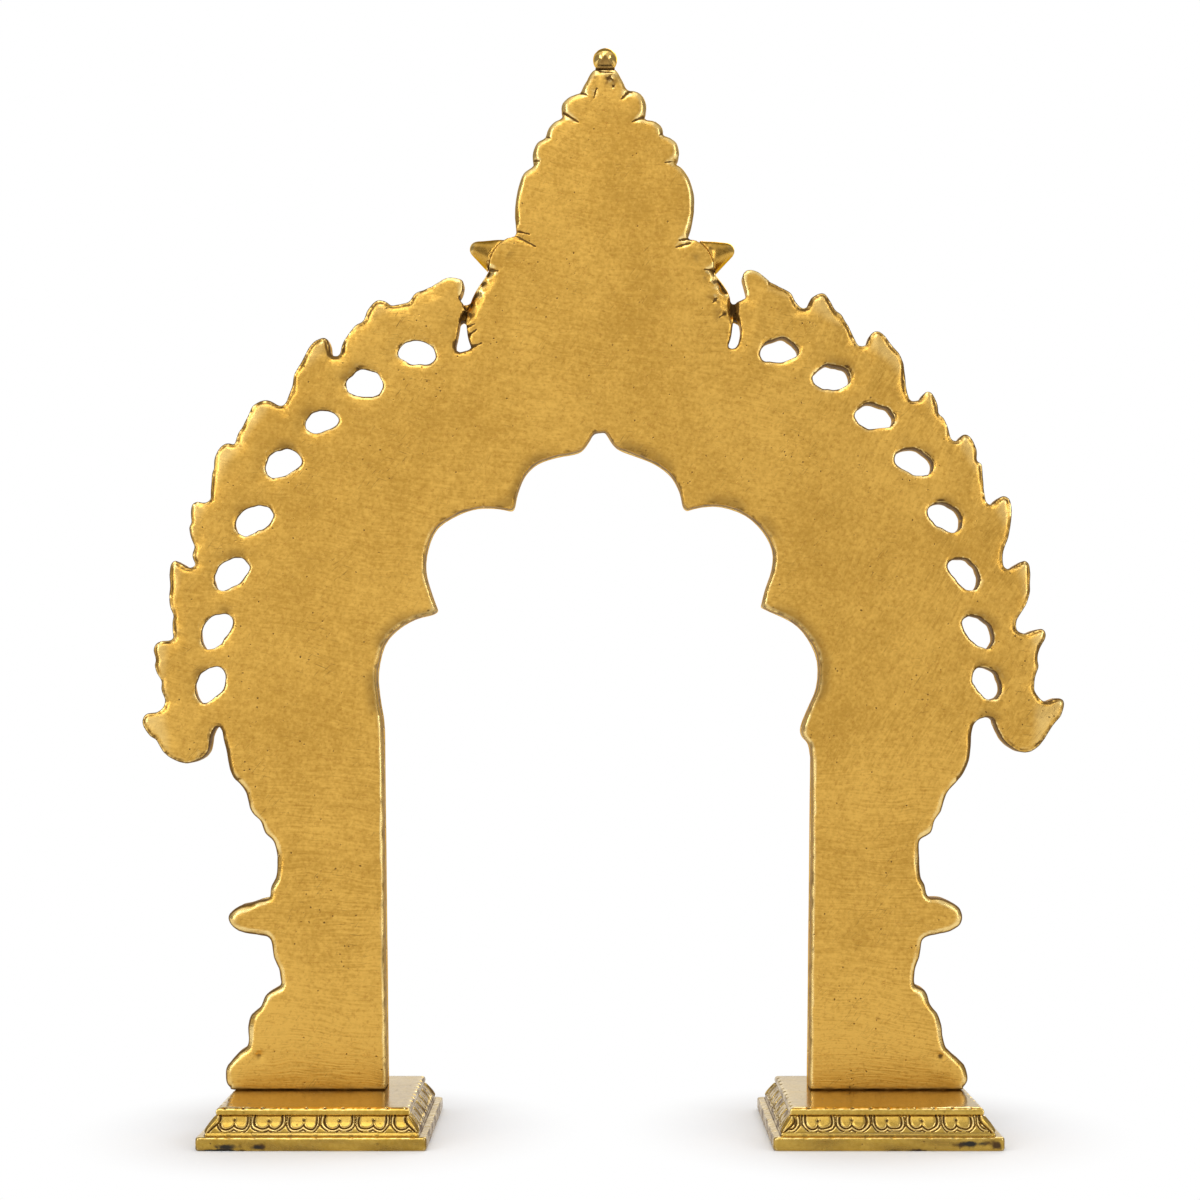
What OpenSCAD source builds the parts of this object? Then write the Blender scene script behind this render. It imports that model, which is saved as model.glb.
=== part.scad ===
// Brass prabhavali: the flaming arch that stands behind a small shrine figure.
// x runs across the arch and z upwards. The plain filed back faces -y, the ornament +y.

/* [Plinths] */
// Distance between the middles of the two plinths
plinth_pitch = 128.6; // [124:0.2:134]
// Side of a plinth's square riser
plinth_w = 51.5; // [46:0.5:58]
// Height of the plain riser
riser_h = 3; // [2:0.1:5]
// Step from the riser's face to the foot of the petals
ledge_w = 1.8; // [1:0.1:3]
// Height of the petal moulding
petal_h = 5; // [4:0.1:7]
// Lean of the petal moulding from its foot to its top
petal_lean = 2.8; // [1.5:0.1:4]
// Height of the thin fillet round the flat top
fillet_h = 0.9; // [0.5:0.1:1.5]

/* [Arch plate] */
// Thickness of the plate
plate_t = 7; // [6:0.25:9]
// Place of the plain back in front of the plinths' middle line
plate_back = 1; // [-2:0.25:3]
// Height of the arch's centre above the plinths
arch_rise = 93.8; // [88:0.2:104]
// Height of the pillar knobs above the plinths
knob_rise = 40.3; // [37:0.1:44]
// Radius of the circle that the flames lick round
flame_r = 104; // [101:0.5:109]
// Clear width between the two jambs
opening_w = 100; // [92:0.5:104]
// Distance from the flame circle in to the row of pierced eyes
eye_inset = 13.5; // [12:0.1:14.5]
// Length of a pierced eye
eye_l = 9.3; // [7:0.1:10]
// Width of a pierced eye
eye_w = 5.8; // [4:0.1:6.5]
// Depth that the bridges over the two slits lie behind the plain back
bridge_depth = 3; // [1.5:0.25:4]

/* [Front ornament] */
// Width of the moulding round the opening
moulding_w = 3.2; // [2:0.1:4.5]
// Height of the moulding above the plate
moulding_h = 2; // [1:0.1:3]
// Distance from the flame circle in to the middle of the half-round halo rib
rib_inset = 23.5; // [22:0.25:26]
// Width of the halo rib
rib_w = 4.4; // [3:0.1:5]
// How far the halo rib runs on below the arch's centre, in degrees
rib_drop = 5; // [2:0.5:6]
// How far a pilaster's turning axis lies behind the plate's front
pilaster_sink = 12; // [8:0.5:16]
// Thickness of the mask's ground
mask_t = 2; // [1:0.1:3]
// Margin of plain crest round the mask's ground
mask_margin = 2.2; // [1:0.1:4]
// Diameter of a mask eye
mask_eye_d = 11; // [8:0.5:13]
// Diameter of the mask's nose
nose_d = 10; // [7:0.5:12]
// Half angle of a horn's cone
horn_angle = 23.5; // [20:0.5:27]
// Radius of a horn's rounded tip
horn_tip_r = 1.9; // [1:0.1:2.5]
// Diameter of the finial's ball
bead_d = 5.7; // [4:0.1:8]

/* [Fixings] */
// Diameter of a locating peg
peg_d = 4; // [2.5:0.1:5]
// Length of a locating peg in the plate
peg_l = 4; // [2.5:0.1:5]
// Diameter of the finial's peg
bead_peg_d = 2.4; // [1.5:0.1:3]
// Length of the finial's peg
bead_peg_l = 6; // [3:0.5:10]
// Diameter of a foot screw
screw_d = 4; // [3:0.5:4.5]
// Length of a foot screw under its head
screw_l = 12; // [10:0.5:18]
// Diameter of a foot screw's head
head_d = 7; // [6:0.5:8]
// Height of a foot screw's head
head_h = 2.6; // [2:0.1:3]
// Width of the driver slot
slot_w = 1; // [0.6:0.1:1.4]
// Depth of the driver slot
slot_depth = 1.2; // [0.8:0.1:1.6]
// Diameter of a washer
washer_d = 9; // [8:0.5:10]
// Thickness of a washer
washer_t = 0.8; // [0.5:0.1:1.2]
// Distance from a jamb to the first screw
screw_edge = 8; // [6:0.5:10]
// Distance between the two screws of a foot
screw_pitch = 20; // [14:0.5:22]
// Depth that a screw's head lies inside the plinth
head_inset = 0.8; // [0.4:0.1:1.2]
// Play round a peg or a screw in its hole
hole_play = 0.1; // [0.05:0.01:0.2]
// Gap between neighbouring castings that only stand side by side
fit_gap = 0.3; // [0.15:0.05:0.5]

/* [Hidden] */
$fn = 64;
brass = "#cda247";
brass_dark = "#b48a38";
brass_screw = "#bfa262";

plinth_h = riser_h + petal_h + fillet_h;
plinth_x = plinth_pitch / 2;
plinth_top_w = plinth_w - 2 * (ledge_w + petal_lean);
plate_front = plate_back + plate_t;
plate_mid = plate_back + plate_t / 2;
arch_z = plinth_h + arch_rise;
knob_z = plinth_h + knob_rise;
crest_z = arch_z + flame_r;
jamb_x = opening_w / 2;
seat_z = washer_t + head_h + head_inset;
thread_l = screw_l - washer_t - (plinth_h - seat_z);
spline_steps = 3;
edge_steps = 2;
far = 400;
// How far a cut runs past the face that it opens
cut_over = 1;
// How far a peg runs into its own casting
peg_root = 1;

// Half width at which the foils of the opening are drawn
foil_half = 50;
// Radius of the flame circle at which the flames, the crest and the mask are drawn
drawn_r = 104;
flame_scale = flame_r / drawn_r;
// Distance from a pillar's axis to the flame circle at which the brackets are drawn
drawn_overhang = 39.7;
bracket_scale = (flame_r - plinth_x) / drawn_overhang;
eye_r = flame_r - eye_inset;
rib_r = flame_r - rib_inset;
// Middle of the crest, a little off the arch's axis as the casting came out
crest_off = 1.2;
crest_x = flame_scale * crest_off;
// Height of the crest's flat tip above the flame circle
tip_rise = 41.6;
crest_tip = flame_scale * tip_rise;

// Outer edge of a pillar, in four runs from the foot to the first flame.
// base: from the pillar's axis and the plinth's top
left_base = [
    [22.3, 0], [23.4, 1.2], [23.7, 3.2], [23.2, 5.7], [20.2, 8.8], [18.6, 9.9], [18.2, 11.8], [18.4, 14.6],
    [17.7, 17.4], [15.4, 19.3], [14.7, 21], [13.9, 22.5], [10.9, 24.1], [10.8, 26.2], [11.2, 28.6],
    [12.3, 30.8]
];
right_base = [
    [20.8, 0], [21.9, 1.6], [22, 3.4], [21.2, 5.8], [18.2, 8.5], [16.8, 10], [16.2, 12.6], [15.9, 15.2],
    [15, 17.8], [13.2, 19.8], [12.8, 21.8], [11.8, 23.4], [9.8, 24.4], [9.6, 26.4], [9.8, 28.4], [10.8, 30.8]
];
// knob: from the pillar's axis and the knob's middle
left_knob = [
    [12.8, -6.2], [13.9, -4.5], [19.2, -3.7], [21.9, -2.3], [23.1, -0.3], [22.3, 1.4], [20.2, 2.7],
    [16.7, 3.7], [13.6, 4.3], [13.1, 5.7], [12.9, 7.7], [12, 9.3]
];
right_knob = [
    [11.2, -6.3], [12.1, -4.6], [14.2, -4.1], [17.7, -3.4], [20, -2.1], [20.9, -0.1], [20.2, 2.2],
    [17.9, 3.9], [15, 4.6], [13.1, 4.6], [12.3, 5.9], [12, 7.8], [11.1, 9.3]
];
// bracket and the gap over it: from the pillar's axis and the arch's centre
left_bracket = [
    [11.5, -41.2], [11.8, -37.7], [12.4, -35.6], [14.3, -33.9], [14.9, -32.3], [15.5, -30.7], [17, -29.3],
    [18, -27.7], [18.6, -25.1], [19.4, -23.4], [21.2, -21.2], [22.4, -19.4], [23.3, -15], [24, -11.6],
    [24.4, -9.6], [25.1, -8.7], [25.8, -8.5], [27.1, -11.2], [27.7, -14.6], [29.7, -16.4]
];
right_bracket = [
    [10.9, -41.7], [10.6, -36.7], [11, -35], [13.3, -33.9], [14, -32.2], [14.4, -30.4], [15.8, -28.7],
    [16.6, -25.9], [17.7, -23.4], [19.7, -21.5], [21.3, -19.3], [22.3, -16.7], [22.8, -12.7], [23, -9.7],
    [23.6, -8], [24.3, -7.4], [26, -6.5], [27.9, -6.5], [28.7, -8.5], [30.1, -11.5], [32.5, -13.8]
];
// scroll: from the flame circle and the arch's centre
left_scroll = [
    [-7, -17.3], [-3.8, -16.4], [-1.4, -14.6], [0.2, -11.8], [1.7, -11], [3.2, -8.6], [3.4, -7],
    [2.5, -5.6], [0.2, -5.3], [-1.5, -4.2], [-2, -2.6]
];
right_scroll = [
    [-4.2, -14.8], [-1.8, -14], [0.2, -11.9], [2.2, -8.5], [4.2, -6.2], [5, -3.6], [4.6, -2.2],
    [3, -2], [0.6, -2.9], [-0.6, -2.2], [-2, -0.2]
];

// Flames up each side, as angle above the arch's centre and reach past the flame circle
left_flames = [
    [[-1.3, -1.9], [0.1, -1], [1.1, -1.1], [2.2, 0.2], [3.2, 0.8], [3.8, 0.5], [5, 1.2], [5.9, 0.8],
     [6.3, -0.3], [6.5, -2.2], [6.8, -3.1]],
    [[6.8, -3.1], [8.9, -2.3], [9.8, -2.4], [11, -1.1], [12.3, -0.4], [13.2, -0.2], [15, 0.7], [16.3, 1],
     [16.9, 0.3], [16.8, -1.3], [16.5, -3.4], [17.1, -4.7]],
    [[17.1, -4.7], [18.2, -3.2], [19.4, -3.1], [20.4, -1.6], [21.6, -0.3], [22.2, -0.5], [23.4, 0.7],
     [24.4, 1.1], [25, 0.3], [25.3, -1.2], [26, -2.3]],
    [[26, -2.3], [27.5, -1], [29.2, 0.3], [29.8, 0.4], [31, 1.6], [32.4, 1.8], [33.4, 1.2], [33.7, 0],
     [33.7, -0.9]],
    [[33.7, -0.9], [35.2, 0], [36.2, 0.2], [38.3, 0.9], [39.3, 1.3], [40.4, 0.7], [41.1, -0.7],
     [41.6, -3.6], [42.3, -4.1]],
    [[42.3, -4.1], [43.7, -3.1], [44.8, -2.3], [45.8, -1], [48, 0.4], [50, 1.6], [51.3, 1.7], [52.1, 0.6],
     [51.9, -1.2], [51.3, -3.2], [52.1, -4.6]],
    [[52.1, -4.6], [53.1, -3], [54.6, -1.8], [56.2, -0.9], [57.3, -1.1], [58.6, 0.7], [60, 1.4],
     [61, 0.5], [61.4, -1.4]],
    [[61.4, -1.4], [62.8, -2.1], [63.8, -2.4], [65, -1.3], [66.2, -1.5], [68, -1.3], [69.7, -1], [71, -2],
     [71.5, -3.2], [71, -5], [70.1, -6.4]]
];
right_flames = [
    [[0, -2.1], [1.7, -1.8], [3, -0.9], [3.8, -1], [5.3, -0.3], [6.4, 1.1], [7.2, 1.5], [7.9, 0.8],
     [7.8, -1], [7.5, -3.4], [8.2, -5.3]],
    [[8.2, -5.3], [9.3, -4.9], [10.2, -3.8], [11.2, -2.1], [12.6, -0.6], [14, 0.1], [15.2, 0.8],
     [16.3, 1], [16.9, 0.2], [16.8, -1.4], [16.4, -3.8], [16.9, -5]],
    [[16.9, -5], [18.5, -4.3], [19.6, -2.9], [20.6, -1.5], [22.3, 0.3], [24, 1.8], [25, 2.2],
     [25.7, 1.1], [25.6, -0.8], [25.3, -2.5], [26, -3.3]],
    [[26, -3.3], [27.6, -2.4], [29, -1.2], [30.6, 0.2], [31.2, -0.6], [32.5, 0.9], [34.2, 1.3],
     [35.1, 0.4], [34.9, -1.7], [35.4, -2.8]],
    [[35.4, -2.8], [36.7, -1.9], [38.3, -1.1], [39.1, -1.4], [40.3, -0.1], [41.6, 0.5], [42.4, -0.4],
     [42.3, -3], [43, -4.6]],
    [[43, -4.6], [44.2, -3.4], [45.6, -1.5], [46.9, 0.4], [48.4, 1.7], [49.8, 2], [51.6, 2.8],
     [52.5, 2.2], [52.7, 0.6], [52.3, -1.8], [53.1, -3.1]],
    [[53.1, -3.1], [54.4, -1.8], [55.6, -0.5], [56.4, 0], [57.3, 0.9], [58.2, 0.9], [59.4, 2.2],
     [60.4, 2.9], [61.2, 2], [61.7, 0.3], [61.6, -1.9], [62.2, -2.6]],
    [[62.2, -2.6], [63.3, -1.9], [64.3, -0.6], [66, -0.4], [68, 0.1], [69.6, 0.8], [70.7, 0.2],
     [71, -1.2], [70.3, -3.2], [69.5, -5.6], [69.8, -6.3]]
];
// Flame side of the slit beside the crest, measured in the same way
left_slit = [[70.1, -6.4], [70.6, -8], [70.2, -9.6], [69.2, -11.2], [68.4, -13.6], [67.3, -16], [67, -17.4],
    [67.4, -18.2], [69.2, -18.6]];
right_slit = [[69.8, -6.3], [70.6, -7.6], [70.3, -9.2], [69.2, -11.4], [68.5, -13.4], [68.2, -16],
    [68.3, -18], [69.5, -18.5]];

// Crest, from its axis and from the top of the flame circle, up each side
left_cheek = [[30, -24.2], [30.9, -21.8], [31.4, -18.5], [31.1, -15.5], [29.9, -12], [28, -8.6],
    [26.2, -5.9]];
right_cheek = [[29.8, -24], [30.8, -21.4], [31.2, -18], [31.2, -14.5], [29.9, -10.4], [27.2, -6.4]];
left_lobes = [
    [[19.6, 2.5], [20, 7], [19.8, 10.3], [19.1, 14.3], [17.8, 17.3], [15.5, 19]],
    [[15.5, 19], [15.8, 20.5], [15.8, 22.2], [14.8, 24.3], [12.9, 25.5]],
    [[12.9, 25.5], [12.2, 27.6], [10.8, 29.2], [8.6, 30.2]],
    [[8.6, 30.2], [8.8, 31.2], [9.1, 32.5], [8.7, 34], [7, 35.3], [4.5, 36.2]],
    [[4.5, 36.2], [3.7, 38.1], [2.4, 40.5], [1.2, 41.6]]
];
right_lobes = [
    [[20.4, 1.8], [21.5, 5], [22.1, 9.3], [21.9, 12.9], [20.8, 16.2], [19, 18.7], [17, 19.5]],
    [[17, 19.5], [18, 20.3], [18.6, 22.1], [18, 24.3], [16.6, 25.6], [14.6, 26.2]],
    [[14.6, 26.2], [14.9, 27.2], [14.3, 28.5], [12.8, 29.5], [10.4, 29.8]],
    [[10.4, 29.8], [10.7, 31.3], [11, 33.1], [10.2, 35.3], [8.4, 36.5], [6.2, 36.9]],
    [[6.2, 36.9], [5.4, 38.6], [4.4, 40.6], [3.6, 41.6]]
];
// Round seats where the horns pass the crest's edge: middle and radius
left_seat = [19, -4.7];
right_seat = [19.8, -5.2];
seat_r = 7.1;
seat_from = -8;
seat_to = 82;
seat_steps = 8;
// Points that the horns' cones run out to
left_horn = [33.3, 2];
right_horn = [34.3, 1.6];

// Foils of one side of the opening from the ogee's tip down, from the arch's centre
left_foils = [
    [[0, 61.6], [1.2, 61.2], [3.1, 58.1], [5.2, 56.2], [10.2, 55.2], [14.8, 53.6], [17.8, 50.7],
     [19.5, 46.6], [20.3, 43], [21.2, 42.4]],
    [[21.2, 42.4], [24.4, 43], [29, 43], [33.5, 41.6], [38.5, 38.4], [40.8, 33.4], [41.3, 28.3],
     [40.2, 23.7], [38.4, 18.7]],
    [[38.4, 18.7], [39.7, 17.8], [43.8, 16.7], [48, 14.2], [51.1, 10.5], [52.6, 4], [52.2, -2],
     [51.3, -7.5], [51.1, -13]]
];
right_foils = [
    [[0, 61.6], [1.2, 61.1], [3.1, 58.2], [5.1, 56.7], [9.2, 55.2], [13.2, 53.5], [16.8, 50.7],
     [18.9, 46.9], [19.7, 43.4], [20.7, 42.5]],
    [[20.7, 42.5], [24.4, 43.4], [29, 43.4], [34.6, 41.4], [38.6, 37.7], [40.9, 33.2], [40.8, 28.6],
     [39.2, 23.7], [38.2, 19.6]],
    [[38.2, 19.6], [40.2, 18.6], [45.8, 15.9], [49.3, 12.2], [51.6, 6.8], [51.4, 0.6], [49.4, -4.3],
     [47.7, -8.6], [47.9, -11], [49.4, -12.8], [50, -16]]
];
// How much wider than the clear width a jamb stands at its foot
left_jamb_foot = 0.2;
right_jamb_foot = -0.8;

// Pierced eyes: angle, place past the row's radius, slant, and difference in length and width
left_eyes = [
    [0.7, 0.9, 33, 0, 0.1], [8.7, 0.5, 31, 0.2, 0.1], [17.4, 0.1, 34, 0, 0.1], [26, -0.2, 35, 0, 0],
    [35.4, 0.8, 33, -0.2, 0], [43.9, 0, 33, -0.8, -1.2], [52.4, -0.2, 38, -0.6, 0.6],
    [61.4, -0.7, 33, -0.3, -0.2]
];
right_eyes = [
    [0.9, 0.3, 33, -0.8, 0], [8.7, -0.6, 35, 0, -0.2], [17.6, -0.8, 32, 0, -0.1], [26.5, 0, 28, -0.3, 0],
    [35.9, 0.4, 33, 0, 0], [44.8, 0.2, 35, 0, 0], [53.4, 0.6, 35, -0.2, 0.1], [62.2, -0.7, 35, -0.4, -0.1]
];
// How strongly an eye bends round its inner side
eye_bend = 0.5;
eye_steps = 24;

// Half widths of a pilaster: from the plinth's top, from the knob's middle, from the arch's centre
pilaster_base = [[20.2, 0], [20.2, 6], [15.6, 9], [14.8, 16.5], [12, 19.5], [11.2, 22.5], [8.8, 25],
    [8.8, 29], [10.2, 31.5]];
pilaster_knob = [[10.6, -5.6], [16, -4.2], [19.2, -2.2], [19.9, 0], [19.2, 2.2], [16.2, 4],
    [11.2, 5], [10.8, 8]];
pilaster_top = [[9.6, -42], [9.6, -37], [12.2, -34], [13.2, -30.5], [14.9, -28], [15.8, -24.5], [18.6, -21],
    [20.4, -16], [21.2, -9.5]];
// Places of a pilaster's two pegs: above the plinth and below the arch's centre
pilaster_peg_up = 13;
pilaster_peg_down = 22;

// The mask's features, from the crest's axis and from the top of the flame circle
mask_eye = [9, -1.5];
eye_forward = 1.5;
mask_cheek = [17.5, -9.5];
mask_cheek_r = 7;
cheek_forward = -0.5;
nose_z = -5;
nose_forward = 3;
nostril = [5.2, -6.6];
nostril_r = 2.8;
forehead_z = 10.5;
forehead_r = 9.5;
forehead_forward = -3;
jewel_r = 3;
jewel_sink = 1;
// The lip's bar lies this far inside the flame circle, and the jaw ends this far outside the halo rib
lip_drop = 14.2;
jaw_gap = 1.6;
lip_half = 15;
lip_w = 3.6;
horn_forward = 1.5;
horn_run = 15;
// Locks of the mane, from their roots on the forehead to their tips
tongue_roots = [[7, 9], [6, 13], [4.6, 15.5], [2.6, 17]];
left_tongues = [[15.5, 12], [12.2, 21], [9.2, 26.5], [3.6, 34.5]];
right_tongues = [[17, 12], [14, 21], [11, 26], [4.4, 34.5]];
tongue_root_r = 3.6;
tongue_tip_r = 2;
lock_forward = 1.6;
mask_pegs = [[0, -4], [0, 18]];
collar_r = 2.3;
collar_top_r = 1.8;
collar_h = 1.2;
petal_bulge = 0.6;
petal_steps = 4;

function curve(a, b, c, d, t) =
    0.5 * (2 * b + (c - a) * t + (2 * a - 5 * b + 4 * c - d) * t * t + (3 * b - a - 3 * c + d) * t * t * t);
function smooth(p, steps) = [
    for (i = [0 : len(p) - 2], k = [0 : steps - 1])
        curve(p[max(i - 1, 0)], p[i], p[i + 1], p[min(i + 2, len(p) - 1)], k / steps)
];
function last(p) = p[len(p) - 1];
function at(points, x, z) = [for (p = points) [x + p[0], z + p[1]]];
function on_flames(points) = [
    for (p = points)
        let (r = flame_r + flame_scale * p[1])
        [r * cos(p[0]), arch_z + r * sin(p[0])]
];
function on_crest(points) = [for (p = points) [0, crest_z] + flame_scale * p];
function on_mask(p) = [crest_x + flame_scale * p[0], crest_z + flame_scale * p[1]];
function spread(points, k) = [for (p = points) [k * p[0], p[1]]];
function arc(middle, r, from, to, steps) = [
    for (k = [0 : steps])
        let (t = from + (to - from) * k / steps)
        middle + r * [cos(t), sin(t)]
];
function reversed(p) = [for (i = [len(p) - 1 : -1 : 0]) p[i]];
function drawn_in(p, middle, d) = [for (q = p) q + (middle - q) * d / norm(middle - q)];
function sided(p, side) = [for (q = p) [side * q[0], q[1]]];

// Crest from the slit's floor to the tip
function crest_edge(cheek, seat, lobes) = concat(
    smooth(on_crest(cheek), spline_steps),
    arc([0, crest_z] + flame_scale * seat, flame_scale * seat_r, seat_from, seat_to, seat_steps),
    [for (l = lobes) each smooth(on_crest(l), spline_steps)],
    on_crest([last(last(lobes))])
);
// One side's outer edge from the foot to the crest's tip
function outer_edge(base, knob, bracket, scroll, flames, slit, crest) = concat(
    smooth(concat(at(base, plinth_x, plinth_h), at(knob, plinth_x, knob_z),
        at(spread(bracket, bracket_scale), plinth_x, arch_z),
        at(flame_scale * scroll, flame_r, arch_z)), edge_steps),
    [for (f = flames) each smooth(on_flames(f), spline_steps)],
    on_flames(slit),
    crest
);
function foil_points(foils) = [for (p = foils) [p[0] * jamb_x / foil_half, arch_z + p[1]]];
// One side of the opening from the ogee's tip to the foot
function inner_edge(foils, foot) = concat(
    [for (f = foils) each smooth(foil_points(f), spline_steps)],
    foil_points([last(last(foils))]),
    [[jamb_x + foot, plinth_h]]
);

left_crest = crest_edge(left_cheek, left_seat, left_lobes);
right_crest = crest_edge(right_cheek, right_seat, right_lobes);
left_outer = outer_edge(left_base, left_knob, left_bracket, left_scroll, left_flames, left_slit, left_crest);
right_outer = outer_edge(right_base, right_knob, right_bracket, right_scroll, right_flames, right_slit,
    right_crest);
left_inner = inner_edge(left_foils, left_jamb_foot);
right_inner = inner_edge(right_foils, right_jamb_foot);
plate_outline = concat(
    sided(left_outer, -1),
    reversed(right_outer),
    reversed(right_inner),
    sided([for (i = [1 : len(left_inner) - 1]) left_inner[i]], -1)
);
opening_outline = concat(
    right_inner,
    reversed(sided([for (i = [1 : len(left_inner) - 1]) left_inner[i]], -1))
);
crest_outline = concat(sided(left_crest, -1), reversed(right_crest));

// Stands a flat outline up in the arch's plane, from y = front back by depth
module upright(front, depth) {
    translate([0, front, 0])
        rotate([90, 0, 0])
            linear_extrude(depth)
                children();
}

// A cylinder along y that starts at y = from
module cross_bore(x, from, z, d, l) {
    translate([x, from, z])
        rotate([-90, 0, 0])
            cylinder(d = d, h = l);
}

module pierced_eye(e, side) {
    a = (eye_l + e[3]) / 2;
    b = (eye_w + e[4]) / 2;
    r = eye_r + e[1];
    along = e[0] + e[2];
    points = [
        for (k = [0 : eye_steps - 1])
            let (t = 360 * k / eye_steps)
            let (u = a * cos(t))
            let (v = b * sin(t) - eye_bend * (cos(t) * cos(t) - 0.5))
            [r * cos(e[0]) - u * sin(along) + v * cos(along),
             arch_z + r * sin(e[0]) + u * cos(along) + v * sin(along)]
    ];
    polygon(sided(points, side));
}

// Low bridge over a slit, on the front part of the plate's thickness
module slit_bridge(side) {
    bridge_w = 4;
    bridge_h = 3.2;
    bridge_angle = 70.5;
    bridge_drop = 9.6;
    bridge_r = flame_r - flame_scale * bridge_drop;
    upright(plate_front, plate_t - bridge_depth)
        translate([side * bridge_r * cos(bridge_angle), arch_z + bridge_r * sin(bridge_angle)])
            rotate(side * (bridge_angle - 90))
                square([bridge_w, bridge_h], center = true);
}

module plate_face() {
    difference() {
        polygon(plate_outline);
        for (e = left_eyes)
            pierced_eye(e, -1);
        for (e = right_eyes)
            pierced_eye(e, 1);
    }
}

// Places of the two screws in a foot
function screw_places(side) = [for (k = [0, 1]) [side * (jamb_x + screw_edge + k * screw_pitch), plate_mid]];

module arch_plate() {
    thread_run_out = 1.5;
    peg_run_out = 0.5;
    peg_floor = plate_front - peg_l - peg_run_out;
    peg_hole_d = peg_d + 2 * hole_play;
    color(brass)
    difference() {
        union() {
            upright(plate_front, plate_t)
                plate_face();
            slit_bridge(-1);
            slit_bridge(1);
        }
        for (side = [-1, 1]) {
            for (s = screw_places(side))
                translate([s[0], s[1], plinth_h - cut_over])
                    cylinder(d = screw_d + 2 * hole_play, h = thread_l + thread_run_out + cut_over);
            for (z = [plinth_h + pilaster_peg_up, arch_z - pilaster_peg_down])
                cross_bore(side * plinth_x, peg_floor, z, peg_hole_d, plate_t);
        }
        for (p = mask_pegs)
            cross_bore(on_mask(p)[0], peg_floor, on_mask(p)[1], peg_hole_d, plate_t);
        translate([crest_x, plate_mid, crest_z + crest_tip - bead_peg_l - peg_run_out])
            cylinder(d = bead_peg_d + 2 * hole_play, h = bead_peg_l + plate_t);
    }
}

module finial_bead() {
    color(brass)
    translate([crest_x, plate_mid, crest_z + crest_tip]) {
        translate([0, 0, bead_d / 2])
            sphere(d = bead_d);
        cylinder(r1 = collar_r, r2 = collar_top_r, h = collar_h);
        translate([0, 0, -bead_peg_l])
            cylinder(d = bead_peg_d, h = bead_peg_l + collar_h);
    }
}

// Part of its children that lies in front of the plate
module in_front() {
    intersection() {
        children();
        translate([-far / 2, plate_front, 0])
            cube([far, far, far]);
    }
}

module inner_moulding() {
    color(brass)
    upright(plate_front + moulding_h, moulding_h)
        difference() {
            intersection() {
                offset(delta = moulding_w)
                    polygon(opening_outline);
                translate([-far / 2, plinth_h])
                    square([far, far]);
            }
            polygon(opening_outline);
        }
}

module halo_rib() {
    color(brass)
    translate([0, plate_front, arch_z])
        rotate([90, 0, 0])
            rotate([0, 0, -rib_drop])
                rotate_extrude(angle = 180 + 2 * rib_drop)
                    intersection() {
                        translate([rib_r, 0])
                            circle(d = rib_w);
                        translate([rib_r - rib_w, -rib_w])
                            square([2 * rib_w, rib_w]);
                    }
}

// Radius of the turned column that shows this half width in front of the plate
function turned(points, z) = [for (p = points) [sqrt(p[0] * p[0] + pilaster_sink * pilaster_sink), z + p[1]]];

// How far a jamb reaches out below the pilasters' tops
function jamb_reach(edge) = max([for (p = edge) if (p[1] < arch_z + last(pilaster_top)[1]) p[0]]);

module pilaster(side) {
    profile = concat(turned(pilaster_base, plinth_h), turned(pilaster_knob, knob_z),
        turned(spread(pilaster_top, bracket_scale), arch_z));
    inner_side = jamb_reach(side > 0 ? right_inner : left_inner) + moulding_w + fit_gap;
    color(brass)
    union() {
        intersection() {
            translate([side * plinth_x, plate_front - pilaster_sink, 0])
                rotate_extrude()
                    polygon(concat([[0, plinth_h]], profile, [[0, last(profile)[1]]]));
            translate([side > 0 ? inner_side : -inner_side - far, plate_front, 0])
                cube([far, far, far]);
        }
        for (z = [plinth_h + pilaster_peg_up, arch_z - pilaster_peg_down])
            cross_bore(side * plinth_x, plate_front - peg_l, z, peg_d, peg_l + peg_root);
    }
}

module left_pilaster() {
    pilaster(-1);
}

module right_pilaster() {
    pilaster(1);
}

// A stubby horn: a turned cone with a round tip, cut away where it rests on the crest's edge
module horn(end, seat, side) {
    tip_at = horn_tip_r / sin(horn_angle);
    tip_steps = 4;
    tip_turn = (90 - horn_angle) / tip_steps;
    horn_l = flame_scale * horn_run;
    profile = concat(
        [[0, horn_l], [0, tip_at - horn_tip_r]],
        [for (k = [1 : tip_steps]) [0, tip_at] + horn_tip_r * [sin(tip_turn * k), -cos(tip_turn * k)]],
        [[horn_l * tan(horn_angle), horn_l]]
    );
    difference() {
        translate([side * flame_scale * end[0], plate_mid + horn_forward, crest_z + flame_scale * end[1]])
            rotate([0, side * (-90 - horn_angle), 0])
                rotate_extrude()
                    polygon(profile);
        cross_bore(side * flame_scale * seat[0], -far / 2, crest_z + flame_scale * seat[1],
            2 * (flame_scale * seat_r + fit_gap), far / 2 + plate_front);
    }
}

// A ball on the mask with its poles fore and aft: place on the face, radius, and rise above the plate
module boss(p, r, rise) {
    translate([on_mask(p)[0], plate_front + rise, on_mask(p)[1]])
        rotate([90, 0, 0])
            rotate([0, 0, 90])
                sphere(r = r);
}

// A tapering lock of the mane between two places on the face
module lock(from, to, rise) {
    run = on_mask(to) - on_mask(from);
    profile = [[0, 0], [tongue_root_r, 0], [tongue_tip_r, norm(run)], [0, norm(run) + tongue_tip_r]];
    translate([on_mask(from)[0], plate_front + rise, on_mask(from)[1]])
        rotate([0, 90 - atan2(run[1], run[0]), 0])
            rotate_extrude()
                polygon(profile);
}

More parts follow.
